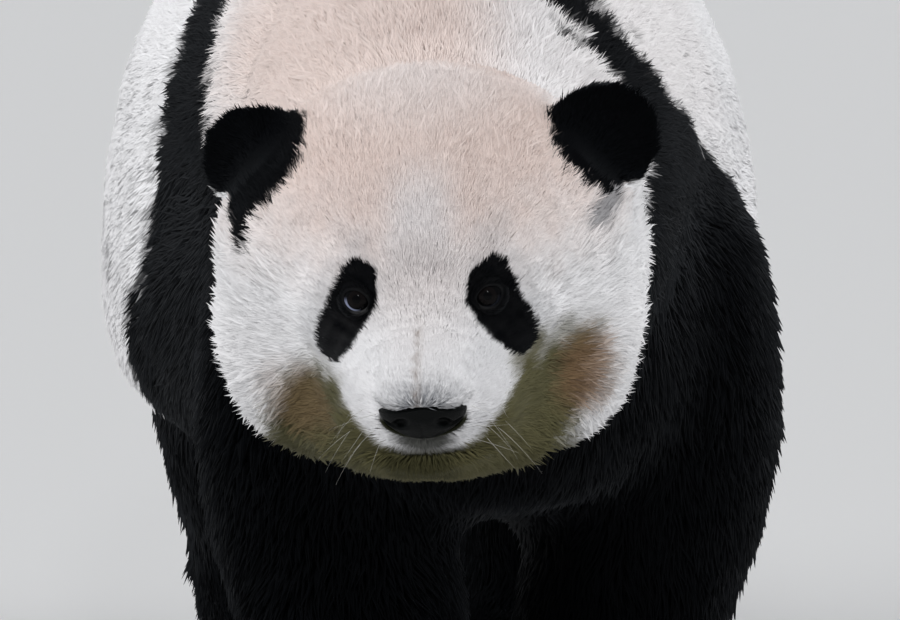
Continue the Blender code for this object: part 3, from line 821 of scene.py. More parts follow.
def seat_nose(points):
    """Takes the skin back behind the nose pad, so the pad stands in a shallow seat."""
    x, y, z = (to_face(points) - NOSE_PLACE).T
    inside = 1.0 - ease(0.82, 1.0, np.hypot(x / NOSE_SEAT[0], z / NOSE_SEAT[1]))
    return pushed_back(points, inside * (y < 0.010) * np.maximum(0.0065 - y, 0.0))


# Solids grow this much before they join, so that the cuts between them close
FLESH_GROWTH = 0.0006
FLOOR_NEAR = 0.0012
PAW_SOFT = 0.12
HEAD_SOFT = 0.30
RUFF_SWELL = 0.004
# Radii within which the grid is halved
EYE_RINGS = (0.034, 0.028, 0.022)
MOUTH_RINGS = (0.055, 0.045)
MOUTH_MIDDLE = (0.0, -0.060, -0.080)


def smooth_flesh(mesh, part, steps):
    """Evens out the solids' facets, least on the paws. Returns the points and which stand on the floor."""
    points = read_points(mesh)
    edges = read_edges(mesh)
    floor = points[:, 2] < FLOOR_NEAR
    firm = is_part(part, EAR_NODES + HEAD_NODES)
    paws = is_part(part, both("forepaw", "hindpaw"))
    softness = even_out(np.where(paws, PAW_SOFT, np.where(firm, HEAD_SOFT, 1.0)), edges, 8)
    for _ in range(steps):
        points += softness[:, None] * (even_out(points, edges, 1) - points)
    points[:, 2] = np.where(floor, 0.0, np.maximum(points[:, 2], 0.0))
    write_points(mesh, points)
    return points, floor


def sink_by_coat(mesh, points, floor, part):
    """Takes the skin in by the coat's depth, and keeps the coat's sizes on it."""
    edges = read_edges(mesh)
    x, y, z = to_face(points).T
    head = is_part(part, HEAD_NODES)
    sizes = even_out(coat_sizes(part, zone_of(points, part)), edges, 14)
    sizes[:, 0] *= 0.55 + 0.45 * ease(0.014, 0.034, away_from(points, EYE_CENTRE.values()))
    near_ear = ease(0.065, 0.040, away_from(points, [middle(name) for name in EAR_NODES]))
    sizes[:, :2] *= (1.0 - 0.55 * near_ear * ease(0.010, 0.035, z) * head)[:, None]
    sizes[:, 1] *= 1.0 + 0.45 * ease(0.12, 0.22, y) * ease(0.05, 0.08, z) * head
    depth = sizes[:, 0] * ease(0.0, SOLE_CLEAR, points[:, 2])
    sunk = points - depth[:, None] * even_out(read_normals(mesh), edges, 4)
    sunk[:, 2] = np.where(floor, 0.0, np.maximum(sunk[:, 2], 0.0))
    sunk += (0.8 * (1.0 - floor))[:, None] * (even_out(sunk, edges, 3) - sunk)
    # The ruff behind the right cheek stands out under the ear
    ruff = RUFF_SWELL * ease(1.0, 0.0, np.hypot((y - 0.125) / 0.060, (z - 0.004) / 0.042))
    ruff *= ease(-0.110, -0.140, x) * head
    write_points(mesh, sunk - ruff[:, None] * FACE_AXES[:, 0])
    store(mesh, "part", part, "INT")
    for name, column in zip(Zone._fields, sizes.T):
        store(mesh, "coat_" + name, column)


def sculpt_face(skin):
    """Refines and shapes the skin round the eyes, the mouth and the nose, and returns its points."""
    for centre in EYE_CENTRE.values():
        refine(skin, centre, EYE_RINGS)
    refine(skin, from_face(MOUTH_MIDDLE), MOUTH_RINGS)
    points = read_points(skin.data)
    for side in SIDES:
        points = shape_lids(points, side)
    points = bring_over_nose(seat_nose(shape_mouth(points)))
    write_points(skin.data, points)
    return points


def build_skin(settings, colours):
    """One closed skin inside the coat, with lids, folds and mouth, and all that the coat needs."""
    pieces = {name: flesh_copy(name, FLESH_GROWTH) for name in FLESH_NODES + FILLER_NODES}
    skin = new_object("skin", *joined(pieces.values()))
    add_modifier(skin, "REMESH", mode="VOXEL", voxel_size=settings.voxel)
    mesh = skin.data
    part = nearest_parts(read_points(mesh), pieces)
    points, floor = smooth_flesh(mesh, part, settings.smoothing)
    sink_by_coat(mesh, points, floor, part)
    points = sculpt_face(skin)
    part = recall(mesh, "part")
    store(mesh, "zone", zone_of(points, part), "INT")
    lie = lie_of_coat(points, read_normals(mesh), part, read_edges(mesh))
    store(mesh, "lie", lie, "FLOAT_VECTOR")
    for name, values in marks_at(points, part)._asdict().items():
        store(mesh, name, values)
    finish_piece(skin, skin_material(colours), FLESH_NODES)


# World directions in which the hair hangs
HANGING = (0.0, 0.25, -1.0)
LEG_LIE = {
    ("upper_arm", "thigh"): HANGING,
    ("forearm", "shin"): (0.0, 0.05, -1.0),
    ("forepaw", "hindpaw"): (0.0, -0.9, -0.5),
}


def lie_of_coat(points, normals, part, edges):
    """Direction in which the hair lies at each point, along the skin."""
    low = ease(0.74, 0.35, points[:, 2])[:, None]
    way = np.array((0.0, 1.0, 0.0)) - low * np.array((0.0, 0.0, 0.9))
    front = is_part(part, ("chest", "neck")) & (points[:, 1] < -0.20) & (points[:, 2] < 0.46)
    way[front | is_part(part, ["tail"])] = HANGING
    for labels, direction in LEG_LIE.items():
        way[is_part(part, both(*labels))] = direction
    # On the head it runs back from the muzzle's tip, and lower beside the jaws
    face = to_face(points)
    beside = np.abs(face[:, 0])
    radial = unit(face - np.array(MUZZLE_TIP))
    radial[:, 2] -= 0.35 * ease(-0.01, -0.06, face[:, 2]) * ease(0.03, 0.09, beside)
    radial[:, 2] *= 1.0 - 0.62 * ease(0.025, 0.085, beside) * ease(-0.030, 0.020, face[:, 2])
    head = is_part(part, HEAD_NODES)
    way[head] = (radial @ FACE_AXES.T)[head]
    for side in SIDES:
        ear = is_part(part, ["ear_" + side])
        way[ear] = unit(points[ear] - np.array(from_face((0.110 * SIDES[side], 0.128, 0.040))))
    way = unit(way)
    for _ in range(6):
        way = even_out(way, edges, 5)
        way = unit(way - np.sum(way * normals, axis=1)[:, None] * normals)
    return way


# --- coat

# A tuft has a root, two corners where it bends, and a tip
TUFT_FACES = np.array(((0, 2, 1), (3, 1, 2), (0, 1, 3), (0, 3, 2)))
TUFT_ALONG = (0.0, 0.55, 0.55, 1.0)
BEND_PLACE = 0.42
BEND_LIFT = 0.72
ROOT_DEPTH = 0.0006
FLOOR_GAP = 0.0008
# A tuft takes its colours from the markings at this share of its length and rise
VISIBLE_SHARE = 0.68
VISIBLE_RISE = 0.85
# Half the width of a tuft's patch on the map
PATCH_ON_MAP = 0.0015
PATCH_CORNERS = PATCH_ON_MAP * np.array(((0, -1), (-1, 0), (1, 0), (0, 1)))
WISP_SHARE = 1.0 / 9.0
COAT_SEED = 100
# Roots keep this far off the lids' opening, and tips reach this far over it
LID_GAP = 0.0014
TIP_OVER_LID = -0.0006
SOLE_BARE = 0.004
MOUTH_BARE = (0.024, 0.0016)


class Skin:
    """What the coat reads from the skin's mesh."""

    def __init__(self, mesh):
        self.points = read_points(mesh)
        self.normals = read_normals(mesh)
        self.triangles = read_triangles(mesh)
        self.zone = recall(mesh, "zone")
        self.part = recall(mesh, "part")
        self.lie = recall(mesh, "lie")
        self.sizes = np.stack([recall(mesh, "coat_" + name) for name in Zone._fields], 1)

    def zone_triangles(self, name):
        """Triangles of one zone."""
        return self.triangles[self.zone[self.triangles[:, 0]] == ZONE_NAMES.index(name)]


def skin_map(points, triangles):
    """Unwraps part of the skin and returns one place on the map for each triangle's corner."""
    used, faces = np.unique(triangles, return_inverse=True)
    obj = new_object("unwrap", points[used].tolist(), faces.reshape(-1, 3).tolist())
    obj.data.uv_layers.new(name="OFBake")
    edit_all(obj, bpy.ops.uv.smart_project, angle_limit=math.radians(66.0), island_margin=0.006)
    flat = read(obj.data.uv_layers["OFBake"].data, "uv", 2).astype(float)
    discard(obj)
    return flat.reshape(-1, 3, 2)


def keep_clear(points, zone_name, lid_gap):
    """True where hair may be: off the eyes' openings, the nose pad, the mouth and the soles."""
    clear = points[:, 2] > SOLE_BARE
    if zone_name in ("eye_patches", "forehead", "muzzle", "cheek_left", "cheek_right"):
        for side in SIDES:
            distance, _, radius, _, _ = lid_distance(points, side)
            clear &= (distance > lid_gap) | (radius > 0.020)
    if zone_name in ("muzzle", "chin"):
        x, y, z = to_face(points).T
        above = z - NOSE_PLACE[2]
        pad = np.hypot((x - NOSE_PLACE[0]) / NOSE_CLEAR[0], above / NOSE_CLEAR[1]) < 1.0
        mouth = (np.abs(x) < MOUTH_BARE[0]) & (np.abs(z - mouth_height(x)) < MOUTH_BARE[1]) & (y < 0.0)
        clear &= ~(pad & (above < NOSE_EDGE + 0.0005)) & ~mouth
    return clear


Roots = namedtuple("Roots", "place normal lie part sizes on_map")


def scatter(skin, name, cover, rng):
    """Roots of one zone's tufts, spread by the coat's cover, with what the skin has there."""
    triangles = skin.zone_triangles(name)
    a, b, c = (skin.points[triangles[:, corner]] for corner in range(3))
    areas = 0.5 * np.linalg.norm(np.cross(b - a, c - a), axis=1)
    _, length, width, thickness, _ = skin.sizes[triangles].mean(axis=1).T
    total = np.cumsum(areas * thickness * cover / (length * width))
    count = int(total[-1])
    picks = np.searchsorted(total, (np.arange(count) + rng.random(count)) / count * total[-1])
    picks = np.minimum(picks, len(triangles) - 1)
    chosen = triangles[picks]
    split = rng.random((count, 2))
    over = split.sum(axis=1) > 1.0
    split[over] = 1.0 - split[over]
    share = np.stack((1.0 - split.sum(axis=1), split[:, 0], split[:, 1]), axis=1)

    def at_root(values):
        return np.einsum("nk,nk...->n...", share, values)

    return Roots(
        at_root(skin.points[chosen]),
        unit(at_root(skin.normals[chosen])),
        at_root(skin.lie[chosen]),
        skin.part[chosen[:, 0]],
        at_root(skin.sizes[chosen]),
        at_root(skin_map(skin.points, triangles)[picks]),
    )


def tuft_mesh(name, corners):
    """One mesh of all the tufts, from their four corners each. Returns it and its faces."""
    count = len(corners)
    faces = (np.arange(count)[:, None, None] * 4 + TUFT_FACES).astype(np.int32).ravel()
    mesh = bpy.data.meshes.new(name)
    mesh.vertices.add(count * 4)
    mesh.vertices.foreach_set("co", corners.astype(np.float32).ravel())
    mesh.loops.add(count * 12)
    mesh.loops.foreach_set("vertex_index", faces)
    mesh.polygons.add(count * 4)
    mesh.polygons.foreach_set("loop_start", np.arange(0, count * 12, 3, dtype=np.int32))
    mesh.update(calc_edges=True)
    return mesh, faces


def grow_coat(skin, name, settings, material, seed):
    """Grows the tufts of one zone as one joined mesh."""
    rng = np.random.default_rng(seed)
    roots = scatter(skin, name, settings.cover, rng)
    root, normal = roots.place, roots.normal
    count = len(root)
    depth, length, width, _, loose = roots.sizes.T

    # Locks lean together over a few widths, and each tuft a little on its own
    scale = float(np.mean(length))
    sway = loose * (0.26 * ripple(root, scale * 1.8, seed + 1) + rng.normal(0.0, 0.12, count))
    lift = 1.0 + loose * (0.10 * ripple(root, scale * 1.1, seed + 2) + rng.normal(0.0, 0.07, count))
    lie = unit(roots.lie - np.sum(roots.lie * normal, axis=1)[:, None] * normal)
    way = lie * np.cos(sway)[:, None] + np.cross(normal, lie) * np.sin(sway)[:, None]
    side = np.cross(normal, way)
    # A share of the tufts are longer, thinner wisps that stand a little out of the coat
    wisp = (rng.random(count) < WISP_SHARE) * ease(0.008, 0.016, length) * ease(0.038, 0.030, length)
    length = length * settings.length * rng.uniform(0.72, 1.18, count) * (1.0 + 0.35 * wisp)
    width = width * rng.uniform(0.75, 1.30, count) * (1.0 - 0.60 * wisp)
    height = np.clip(depth * (lift + 0.20 * wisp), 0.25 * depth, (1.25 + 0.25 * wisp) * depth)
    height = np.minimum(height * (0.25 + 0.75 * ease(0.0, SOLE_CLEAR, root[:, 2])), 0.62 * length)
    curl = rng.normal(0.0, 0.10, count) * length

    def on_tuft(share, rise):
        return root + way * (share * length)[:, None] + normal * (rise * height)[:, None]

    bend = on_tuft(BEND_PLACE, BEND_LIFT)
    tip = on_tuft(1.0, 1.0) + side * curl[:, None]
    half = side * (0.5 * width)[:, None]
    clear = keep_clear(root, name, LID_GAP)
    if name == "eye_patches":
        clear &= keep_clear(tip, name, TIP_OVER_LID)
    corners = np.stack((root - normal * ROOT_DEPTH, bend + half, bend - half, tip), axis=1)[clear]
    corners[:, :, 2] = np.maximum(corners[:, :, 2], FLOOR_GAP)

    mesh, faces = tuft_mesh("coat_" + name, corners)
    for key, values in marks_at(on_tuft(VISIBLE_SHARE, VISIBLE_RISE), roots.part)._asdict().items():
        store(mesh, key, np.repeat(values[clear], 4))
    store(mesh, "tone", np.repeat(rng.random(len(corners)), 4))
    store(mesh, "along", np.tile(TUFT_ALONG, len(corners)))
    write_map(mesh, (roots.on_map[clear][:, None] + PATCH_CORNERS).reshape(-1, 2)[faces])
    finish_piece(show(mesh), material)
    if settings.soft:
        leans = (-0.25 * way, 0.28 * side, -0.28 * side, 0.10 * way)
        shade = np.stack([normal + lean for lean in leans], axis=1)[clear]
        mesh.normals_split_custom_set_from_vertices(unit(shade).reshape(-1, 3))


WHISKER_RINGS = 8
# Heights of the rows in the face's frame
WHISKER_ROWS = (-0.060, -0.070, -0.080)
WHISKERS_IN_ROW = 3
WHISKER_RADIUS = 0.00020
WHISKER_STAIN = 0.55
WHISKER_SEED = 77


def whisker_points(root, way, down, length):
    """Points of one whisker's three-cornered rings, and how far along it each one is."""
    across = unit(np.cross(way, (0.0, 0.0, 1.0)))
    other = np.cross(way, across)
    points, along = [], []
    for t in np.arange(WHISKER_RINGS) / (WHISKER_RINGS - 1):
        centre = root - 0.002 * way + length * (t * way + t * t * down)
        for turn in np.radians((0.0, 120.0, 240.0)):
            out = math.cos(turn) * across + math.sin(turn) * other
            points.append(centre + WHISKER_RADIUS * (1.0 - 0.85 * t) * out)
            along.append(t)
    return points, along


def whisker_faces(first):
    """Faces of one whisker whose points begin at that number."""
    last = first + 3 * (WHISKER_RINGS - 1)
    faces = [(first + 2, first + 1, first), (last, last + 1, last + 2)]
    for ring in range(first, last, 3):
        for corner in range(3):
            b, c = ring + corner, ring + (corner + 1) % 3
            faces.append((b, c, c + 3, b + 3))
    return faces


def build_whiskers(skin, material, seed):
    """Thin straw-coloured whiskers on both sides of the muzzle."""
    rng = np.random.default_rng(seed)
    triangles = skin.zone_triangles("muzzle")
    flat = skin_map(skin.points, triangles)
    middles = to_face(skin.points)[triangles].mean(axis=1)
    points, faces, places, along = [], [], [], []
    for sign, row, number in product(SIDES.values(), range(len(WHISKER_ROWS)), range(WHISKERS_IN_ROW)):
        start = np.array((sign * (0.030 + 0.0095 * number), -0.070, WHISKER_ROWS[row]))
        start += rng.normal(0.0, 0.0012, 3)
        away = np.hypot(middles[:, 0] - start[0], middles[:, 2] - start[2])
        pick = int(np.argmin(away + 10.0 * (middles[:, 1] > -0.01)))
        length = rng.uniform(0.022, 0.046)
        way = unit(np.array((sign * 0.8, -0.35, -0.25 - 0.20 * row)) + rng.normal(0.0, 0.24, 3))
        down = np.array((0.0, 0.10, -0.35)) * rng.uniform(-0.3, 1.5)
        faces += whisker_faces(len(points))
        more, shares = whisker_points(middles[pick], way, down, length)
        points += more
        along += shares
        places += [flat[pick, 0] + PATCH_ON_MAP * np.array((corner - 1.0, 2.0 * share - 1.0))
                   for share, corner in zip(shares, (0, 1, 2) * WHISKER_RINGS)]
    world = np.array(points) @ FACE_AXES.T + np.array(FACE_ORIGIN)
    whiskers = new_object("whiskers", world.tolist(), faces)
    edit_all(whiskers, bpy.ops.mesh.normals_make_consistent, inside=False)
    mesh = whiskers.data
    for name in Marks._fields:
        store(mesh, name, np.full(len(points), WHISKER_STAIN * (name == "olive")))
    store(mesh, "tone", np.ones(len(points)))
    store(mesh, "along", 0.5 + 0.5 * np.array(along))
    write_map(mesh, np.array(places)[read(mesh.loops, "vertex_index", 1, np.int32)[:, 0]])
    finish_piece(whiskers, material)


# --- eyes

# Angle off the gaze at which the iris ends, and the height of the cornea over the ball
LIMBUS = 0.63
CORNEA_BULGE = 0.0011
GAZE = {"left": (0.08, -1.0, 0.30), "right": (-0.10, -1.0, 0.36)}
WHITE_SHOWN = {"left": 0.05, "right": 1.0}


def eye_material(colours):
    """A living eye: wet and dark, brown iris, black pupil and rim, a bluish white at its outer corner."""
    material, tree = new_material("panda_eye_wet_gloss")
    angle = add_node(tree, "ShaderNodeAttribute", attribute_name="gaze")
    bands = ((0.22, colours.pupil), (0.26, colours.iris), (0.48, colours.iris), (0.56, colours.pupil))
    ramp = add_node(tree, "ShaderNodeValToRGB", links={"Fac": (angle, "Fac")})
    stops = ramp.color_ramp.elements
    for reach, _ in bands[1:-1]:
        stops.new(reach)
    for stop, (reach, colour) in zip(stops, bands):
        stop.position = reach
        stop.color = rgba(colour)
    outside = add_node(tree, "ShaderNodeMapRange", {"From Min": LIMBUS - 0.03, "From Max": LIMBUS + 0.02},
                       {"Value": (angle, "Fac")})
    shown = add_node(tree, "ShaderNodeAttribute", attribute_name="shown")
    white = add_node(tree, "ShaderNodeMath", links={0: (outside, 0), 1: (shown, "Fac")},
                     operation="MULTIPLY")
    ball = add_node(tree, "ShaderNodeMix", {7: rgba(colours.sclera)}, {0: (white, 0), 6: (ramp, 0)}, **LAY)
    place = add_node(tree, "ShaderNodeTexCoord")
    # Iris fibres and faint veins about 0.4 mm wide
    fibre = add_node(tree, "ShaderNodeTexNoise", {"Scale": 2200.0, "Detail": 2.0},
                     {"Vector": (place, "Object")})
    dim = add_node(tree, "ShaderNodeMapRange", {"To Min": 0.75, "To Max": 1.1}, {"Value": (fibre, 0)})
    colour = add_node(tree, "ShaderNodeMix", {0: 1.0}, {6: (ball, 2), 7: (dim, 0)}, **SHADE)
    shader = add_node(tree, "ShaderNodeBsdfPrincipled",
                      {"Roughness": 0.05, "IOR": 1.376, "Specular IOR Level": 0.11},
                      {"Base Color": (colour, 2)})
    add_node(tree, "ShaderNodeOutputMaterial", links={"Surface": (shader, 0)})
    return material


def new_ball(name, segments, rings, radius):
    """A ball at the origin."""
    deselect()
    bpy.ops.mesh.primitive_uv_sphere_add(
        segments=segments, ring_count=rings, radius=radius, location=(0, 0, 0)
    )
    bpy.context.object.name = name
    return bpy.context.object


def build_eye(side, material):
    """One eyeball with a raised cornea that looks where the animal looks."""
    radius = EYE_RADIUS * 0.99
    eye = new_ball("eyeball_" + side, 64, 48, radius)
    points = read_points(eye.data)
    angle = np.arccos(np.clip(points[:, 2] / radius, -1.0, 1.0))
    # The white shows towards the outer lower corner; elsewhere the rim is pigmented
    corner = unit(points[:, :2]) @ np.array((0.62 * SIDES[side], -0.78))
    bulge = CORNEA_BULGE * (1.0 - ease(0.0, LIMBUS * 1.15, angle))
    points *= (1.0 + bulge / EYE_RADIUS)[:, None]
    gaze = (FACE_TURN @ Vector(GAZE[side])).normalized()
    turn = gaze.to_track_quat("Z", "Y").to_matrix()
    write_points(eye.data, points @ np.array(turn).T + np.array(EYE_CENTRE[side]))
    store(eye.data, "gaze", angle)
    store(eye.data, "shown", WHITE_SHOWN[side] * ease(0.45, 1.0, corner))
    finish_piece(eye, material, ("eye_" + side,))


# --- nose


def nose_material(colours):
    """Nose leather, living and moist: fine pebbles, dark, with a soft shine."""
    material, tree = new_material("panda_nose_leather")
    place = add_node(tree, "ShaderNodeTexCoord")
    # Pebbles of about 0.9 mm, as on the pad of a bear's nose, and drier places about 6 mm across
    pebbles = add_node(tree, "ShaderNodeTexVoronoi", {"Scale": 1100.0}, {"Vector": (place, "Object")})
    mottle = add_node(tree, "ShaderNodeTexNoise", {"Scale": 160.0, "Detail": 4.0},
                      {"Vector": (place, "Object")})
    colour = add_node(tree, "ShaderNodeMix", {6: rgba(colours.nose), 7: rgba(colours.nose_light)},
                      {0: (mottle, 0)}, **LAY)
    bump = add_node(tree, "ShaderNodeBump", {"Strength": 0.55, "Distance": 0.0004},
                    {"Height": (pebbles, 0)}, invert=True)
    shader = add_node(tree, "ShaderNodeBsdfPrincipled", {"Roughness": 0.42, "Specular IOR Level": 0.09},
                      {"Base Color": (colour, 2), "Normal": (bump, 0)})
    add_node(tree, "ShaderNodeOutputMaterial", links={"Surface": (shader, 0)})
    return material


def build_nose(material):
    """The nose pad: a half-moon, flat above, with two comma nostrils and a groove."""
    nose = new_ball("nose_pad", 96, 64, 1.0)
    x, y, z = read_points(nose.data).T
    # A half-moon seen from the front: the top is flattened and the lower corners are drawn in
    tall = np.where(z > 0.0, z * 0.0035, z * 0.0250 * (1.0 - 0.30 * x**2)) + 0.0095 - 0.0030 * x**2
    shape = np.stack((x * 0.0308, y * 0.0200, tall), axis=1)
    for sign in SIDES.values():
        beside = shape[:, 0] * sign
        above = tall - 0.0010 + 0.22 * (beside - 0.0150)
        hole = 1.0 - ease(0.25, 1.20, np.hypot((beside - 0.0150) / 0.0062, above / 0.0044))
        above = tall + 0.0010 - 0.40 * (beside - 0.0225)
        slit = 1.0 - ease(0.40, 1.10, np.hypot((beside - 0.0225) / 0.0062, above / 0.0020))
        shape[:, 1] += np.maximum(0.0065 * hole, 0.0035 * slit) * (y < 0.25)
    groove = np.exp(-((shape[:, 0] / 0.0010) ** 2)) * ease(0.004, -0.004, tall)
    shape[:, 1] += 0.0016 * groove * (y < 0.2)
    world = (shape + NOSE_PLACE) @ FACE_AXES.T + np.array(FACE_ORIGIN)
    world[:, 1] = np.maximum(world[:, 1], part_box("nose")[0].y)
    write_points(nose.data, world)
    finish_piece(nose, material, ("nose",))


# --- claws


def claw_material(colours):
    """Claw horn, grown in layers: dark, clouded with paler horn, semi-gloss."""
    material, tree = new_material("panda_claw_horn")
    place = add_node(tree, "ShaderNodeTexCoord")
    # Clouds about 2.4 mm across, broken up by finer ones
    clouds = add_node(tree, "ShaderNodeTexNoise", {"Scale": 420.0, "Detail": 3.0, "Distortion": 0.6},
                      {"Vector": (place, "Object")})
    colour = add_node(tree, "ShaderNodeMix", {6: rgba(colours.claw), 7: rgba(colours.claw_light)},
                      {0: (clouds, 0)}, **LAY)
    bump = add_node(tree, "ShaderNodeBump", {"Strength": 0.3, "Distance": 0.0003}, {"Height": (clouds, 0)})
    shader = add_node(
        tree, "ShaderNodeBsdfPrincipled",
        {"Roughness": 0.36, "IOR": 1.54, "Coat Weight": 0.2, "Coat Roughness": 0.2},
        {"Base Color": (colour, 2), "Normal": (bump, 0)},
    )
    add_node(tree, "ShaderNodeOutputMaterial", links={"Surface": (shader, 0)})
    return material


def build_claws(foot, material):
    """The five claws of one foot, smoothed from their solids."""
    names = ["claw_" + foot + "_" + str(toe) for toe in range(1, 6)]
    claws = new_object("claws_" + foot, *joined(flesh_copy(name, 0.0) for name in names))
    add_modifier(claws, "SUBSURF", levels=2, render_levels=2)
    points = read_points(claws.data)
    points[:, 2] = np.maximum(points[:, 2], 0.0)
    write_points(claws.data, points)
    finish_piece(claws, material, names)


# --- settings


def colour_property(name, description, code):
    """A colour that the user can change, from its sRGB hex code."""
    return FloatVectorProperty(
        name=name, description=description, subtype="COLOR", size=3, min=0.0, max=1.0,
        default=linear(code),
    )


class PandaColours(bpy.types.PropertyGroup):
    """Colours of coat, nose, eyes, claws and stage."""

    white: colour_property("White", "Clean white hair", "#f9f8f9")
    black: colour_property("Black", "Black hair, faintly blue", "#040507")
    blush: colour_property("Blush", "Beige and pink of crown and nape", "#ead8d0")
    # Thin grey hair, and also painted shade round the eye patches, under the animal's left ear and on the
    # lower muzzle
    grey: colour_property("Grey", "Thin grey hair over dark hide", "#84868a")
    # Its darkness also stands for painted shade under the jaw
    olive: colour_property("Olive", "Stained hair of jaw and chin", "#68633f")
    russet: colour_property("Russet", "Rusty hair of the cheeks", "#96775a")
    # Dark lip, and also painted shade under the nose pad, on the chin and over the stained jaw
    lip: colour_property("Lip", "Dark edge of the mouth", "#1f2110")
    sheen: colour_property("Sheen", "Bluish sheen of hair that turns away", "#eff6ff")
    nose: colour_property("Nose", "Nose leather", "#030404")
    nose_light: colour_property("Nose, worn", "Drier nose leather", "#090b0b")
    pupil: colour_property("Pupil", "Pupil and rim of the iris", "#040405")
    iris: colour_property("Iris", "Dark brown iris", "#0d0a0a")
    sclera: colour_property("White of the eye", "Bluish white of the eye", "#8e94ac")
    claw: colour_property("Claw", "Dark claw horn", "#2b241d")
    claw_light: colour_property("Claw, thin", "Paler claw horn", "#7d6c58")
    floor: colour_property("Floor", "Matt studio floor", "#cfcfcf")
    light: colour_property("Light", "Studio light from all round", "#e7eaef")


class PandaSkin(bpy.types.PropertyGroup):
    """How the skin is made from the solids."""

    voxel: FloatProperty(name="Grid", description="Size of the skin's first grid", default=0.006,
                         min=0.003, max=0.02, unit="LENGTH")
    smoothing: IntProperty(name="Smoothing", description="Steps that even out the solids' facets",
                           default=26, min=0, max=80)


class PandaCoat(bpy.types.PropertyGroup):
    """How the coat grows."""

    cover: FloatProperty(name="Cover", description="How thickly the tufts stand", default=1.0,
                         min=0.1, max=2.0, subtype="FACTOR")
    length: FloatProperty(name="Length", description="Length of the tufts against the standard coat",
                          default=1.0, min=0.3, max=2.0, subtype="FACTOR")
    soft: BoolProperty(name="Soft shading", description="Shades the tufts with the skin's roundness",
                       default=True)


# --- operators


class PANDA_OT_skin(bpy.types.Operator):
    """Makes the skin from the flesh solids"""

    bl_idname = "panda.skin"
    bl_label = "Skin"

    def execute(self, context):
        scene = context.scene
        build_skin(scene.panda_skin, scene.panda_colours)
        return {"FINISHED"}


class PANDA_OT_coat(bpy.types.Operator):
    """Grows the coat of every zone on the skin"""

    bl_idname = "panda.coat"
    bl_label = "Coat"

    def execute(self, context):
        scene = context.scene
        skin = Skin(bpy.data.objects["skin"].data)
        material = hair_material(scene.panda_colours, "panda_guard_hair")
        for index, name in enumerate(ZONE_NAMES):
            grow_coat(skin, name, scene.panda_coat, material, COAT_SEED + 10 * index)
        return {"FINISHED"}


class PANDA_OT_whiskers(bpy.types.Operator):
    """Sets the whiskers into the muzzle"""

    bl_idname = "panda.whiskers"
    bl_label = "Whiskers"

    def execute(self, context):
        skin = Skin(bpy.data.objects["skin"].data)
        material = hair_material(context.scene.panda_colours, "panda_whisker_hair")
        build_whiskers(skin, material, WHISKER_SEED)
        return {"FINISHED"}


class PANDA_OT_eyes(bpy.types.Operator):
    """Makes both eyeballs"""

    bl_idname = "panda.eyes"
    bl_label = "Eyes"

    def execute(self, context):
        material = eye_material(context.scene.panda_colours)
        for side in SIDES:
            build_eye(side, material)
        return {"FINISHED"}


class PANDA_OT_nose(bpy.types.Operator):
    """Makes the nose pad"""

    bl_idname = "panda.nose"
    bl_label = "Nose"

    def execute(self, context):
        build_nose(nose_material(context.scene.panda_colours))
        return {"FINISHED"}


class PANDA_OT_claws(bpy.types.Operator):
    """Makes the claws of all four feet"""

    bl_idname = "panda.claws"
    bl_label = "Claws"

    def execute(self, context):
        material = claw_material(context.scene.panda_colours)
        for foot in ("fore_left", "fore_right", "hind_left", "hind_right"):
            build_claws(foot, material)
        return {"FINISHED"}


# Direction towards each light, its strength, and how many degrees wide it is
SUNS = {
    "key_sun": ((-0.87, -0.32, 0.38), 1.60, 60.0),
    "fill_sun": ((0.94, -0.15, 0.32), 1.45, 60.0),
    "top_sun": ((0.00, 0.05, 1.00), 0.45, 80.0),
    "back_sun": ((-0.05, 0.75, 0.65), 0.75, 60.0),
}
SKY_STRENGTH = 0.44
CATCH_PLACE = (0.04, -1.95, 1.75)
CATCH_SIZE = 0.26
CATCH_POWER = 13.0
CAMERA_DISTANCE = 4.0
CAMERA_RISE = math.radians(6.5)
LENS = 220.8
SENSOR = 36.0
# The camera sees this point of the head off the middle of its view, by these shares of its width
HEAD_POINT = Vector((0.0073, -0.5645, 0.500))
HEAD_OFF = (-0.017778, 0.06)


def build_floor(colours):
    """A matt floor under the feet."""
    deselect()
    bpy.ops.mesh.primitive_plane_add(size=40.0, location=(0.0, 0.0, 0.0))
    floor = bpy.context.object
    floor.name = "studio_floor"
    material, tree = new_material("studio_matt_floor")
    shader = add_node(tree, "ShaderNodeBsdfPrincipled",
                      {"Base Color": rgba(colours.floor), "Roughness": 0.9, "Specular IOR Level": 0.2})
    add_node(tree, "ShaderNodeOutputMaterial", links={"Surface": (shader, 0)})
    floor.data.materials.append(material)


def build_lights(scene, colours):
    """Soft light from all round, four wide suns, and a small lamp that shines back from the eyes."""
    world = bpy.data.worlds.new("studio_light")
    scene.world = world
    world.use_nodes = True
    sky = world.node_tree.nodes["Background"].inputs
    sky["Color"].default_value = rgba(colours.light)
    sky["Strength"].default_value = SKY_STRENGTH
    for name, (way, strength, spread) in SUNS.items():
        sun = bpy.data.lights.new(name, "SUN")
        sun.energy = strength
        sun.angle = math.radians(spread)
        holder = show(sun)
        holder.rotation_euler = Vector(way).to_track_quat("Z", "Y").to_euler()
        holder.visible_glossy = False
    lamp = bpy.data.lights.new("catch_light", "AREA")
    lamp.size = CATCH_SIZE
    lamp.energy = CATCH_POWER
    holder = show(lamp, FACE_ORIGIN + Vector(CATCH_PLACE))
    holder.rotation_euler = Vector(CATCH_PLACE).to_track_quat("Z", "Y").to_euler()


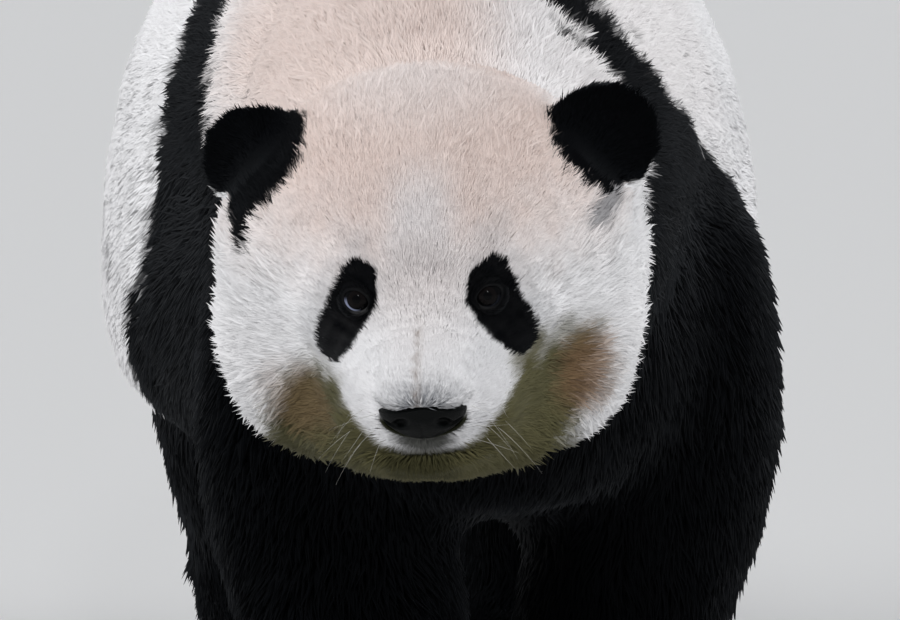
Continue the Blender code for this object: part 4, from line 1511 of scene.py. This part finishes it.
def build_camera(scene):
    """A long lens in front of the animal, a little above its head."""
    camera = bpy.data.cameras.new("camera")
    camera.lens = LENS
    camera.sensor_width = SENSOR
    camera.clip_end = 100.0
    back = Vector((0.0, -math.cos(CAMERA_RISE), math.sin(CAMERA_RISE)))
    turn = (-back).to_track_quat("-Z", "Y")
    off = turn @ Vector((*HEAD_OFF, 0.0)) * (CAMERA_DISTANCE * SENSOR / LENS)
    scene.camera = show(camera, HEAD_POINT + back * CAMERA_DISTANCE - off)
    scene.camera.rotation_euler = turn.to_euler()
    scene.view_settings.view_transform = "Standard"


class PANDA_OT_stage(bpy.types.Operator):
    """Makes the floor, the lights and the camera"""

    bl_idname = "panda.stage"
    bl_label = "Stage"

    def execute(self, context):
        scene = context.scene
        build_floor(scene.panda_colours)
        build_lights(scene, scene.panda_colours)
        build_camera(scene)
        return {"FINISHED"}


class PANDA_PT_panel(bpy.types.Panel):
    """Lists the pieces and their settings"""

    bl_idname = "PANDA_PT_panel"
    bl_label = "Giant panda"
    bl_space_type = "VIEW_3D"
    bl_region_type = "UI"
    bl_category = "Panda"

    def draw(self, context):
        for operator in OPERATORS:
            self.layout.operator(operator.bl_idname)
        for group in GROUPS:
            settings = getattr(context.scene, group)
            box = self.layout.box()
            for name in settings.bl_rna.properties.keys():
                if name not in ("rna_type", "name"):
                    box.prop(settings, name)


OPERATORS = (PANDA_OT_skin, PANDA_OT_eyes, PANDA_OT_nose, PANDA_OT_claws, PANDA_OT_coat,
             PANDA_OT_whiskers, PANDA_OT_stage)
GROUPS = {"panda_colours": PandaColours, "panda_skin": PandaSkin, "panda_coat": PandaCoat}


def register():
    """Registers the settings, the operators and the panel."""
    for group in GROUPS.values():
        bpy.utils.register_class(group)
    for name, group in GROUPS.items():
        setattr(bpy.types.Scene, name, PointerProperty(type=group))
    for item in OPERATORS + (PANDA_PT_panel,):
        bpy.utils.register_class(item)


def unregister():
    """Takes away what register added."""
    for item in (PANDA_PT_panel,) + OPERATORS[::-1]:
        bpy.utils.unregister_class(item)
    for name in GROUPS:
        delattr(bpy.types.Scene, name)
    for group in GROUPS.values():
        bpy.utils.unregister_class(group)


def main():
    """Builds every piece in order."""
    register()
    bpy.ops.panda.skin()
    bpy.ops.panda.eyes()
    bpy.ops.panda.nose()
    bpy.ops.panda.claws()
    bpy.ops.panda.coat()
    bpy.ops.panda.whiskers()
    bpy.ops.panda.stage()


if __name__ == "__main__":
    main()
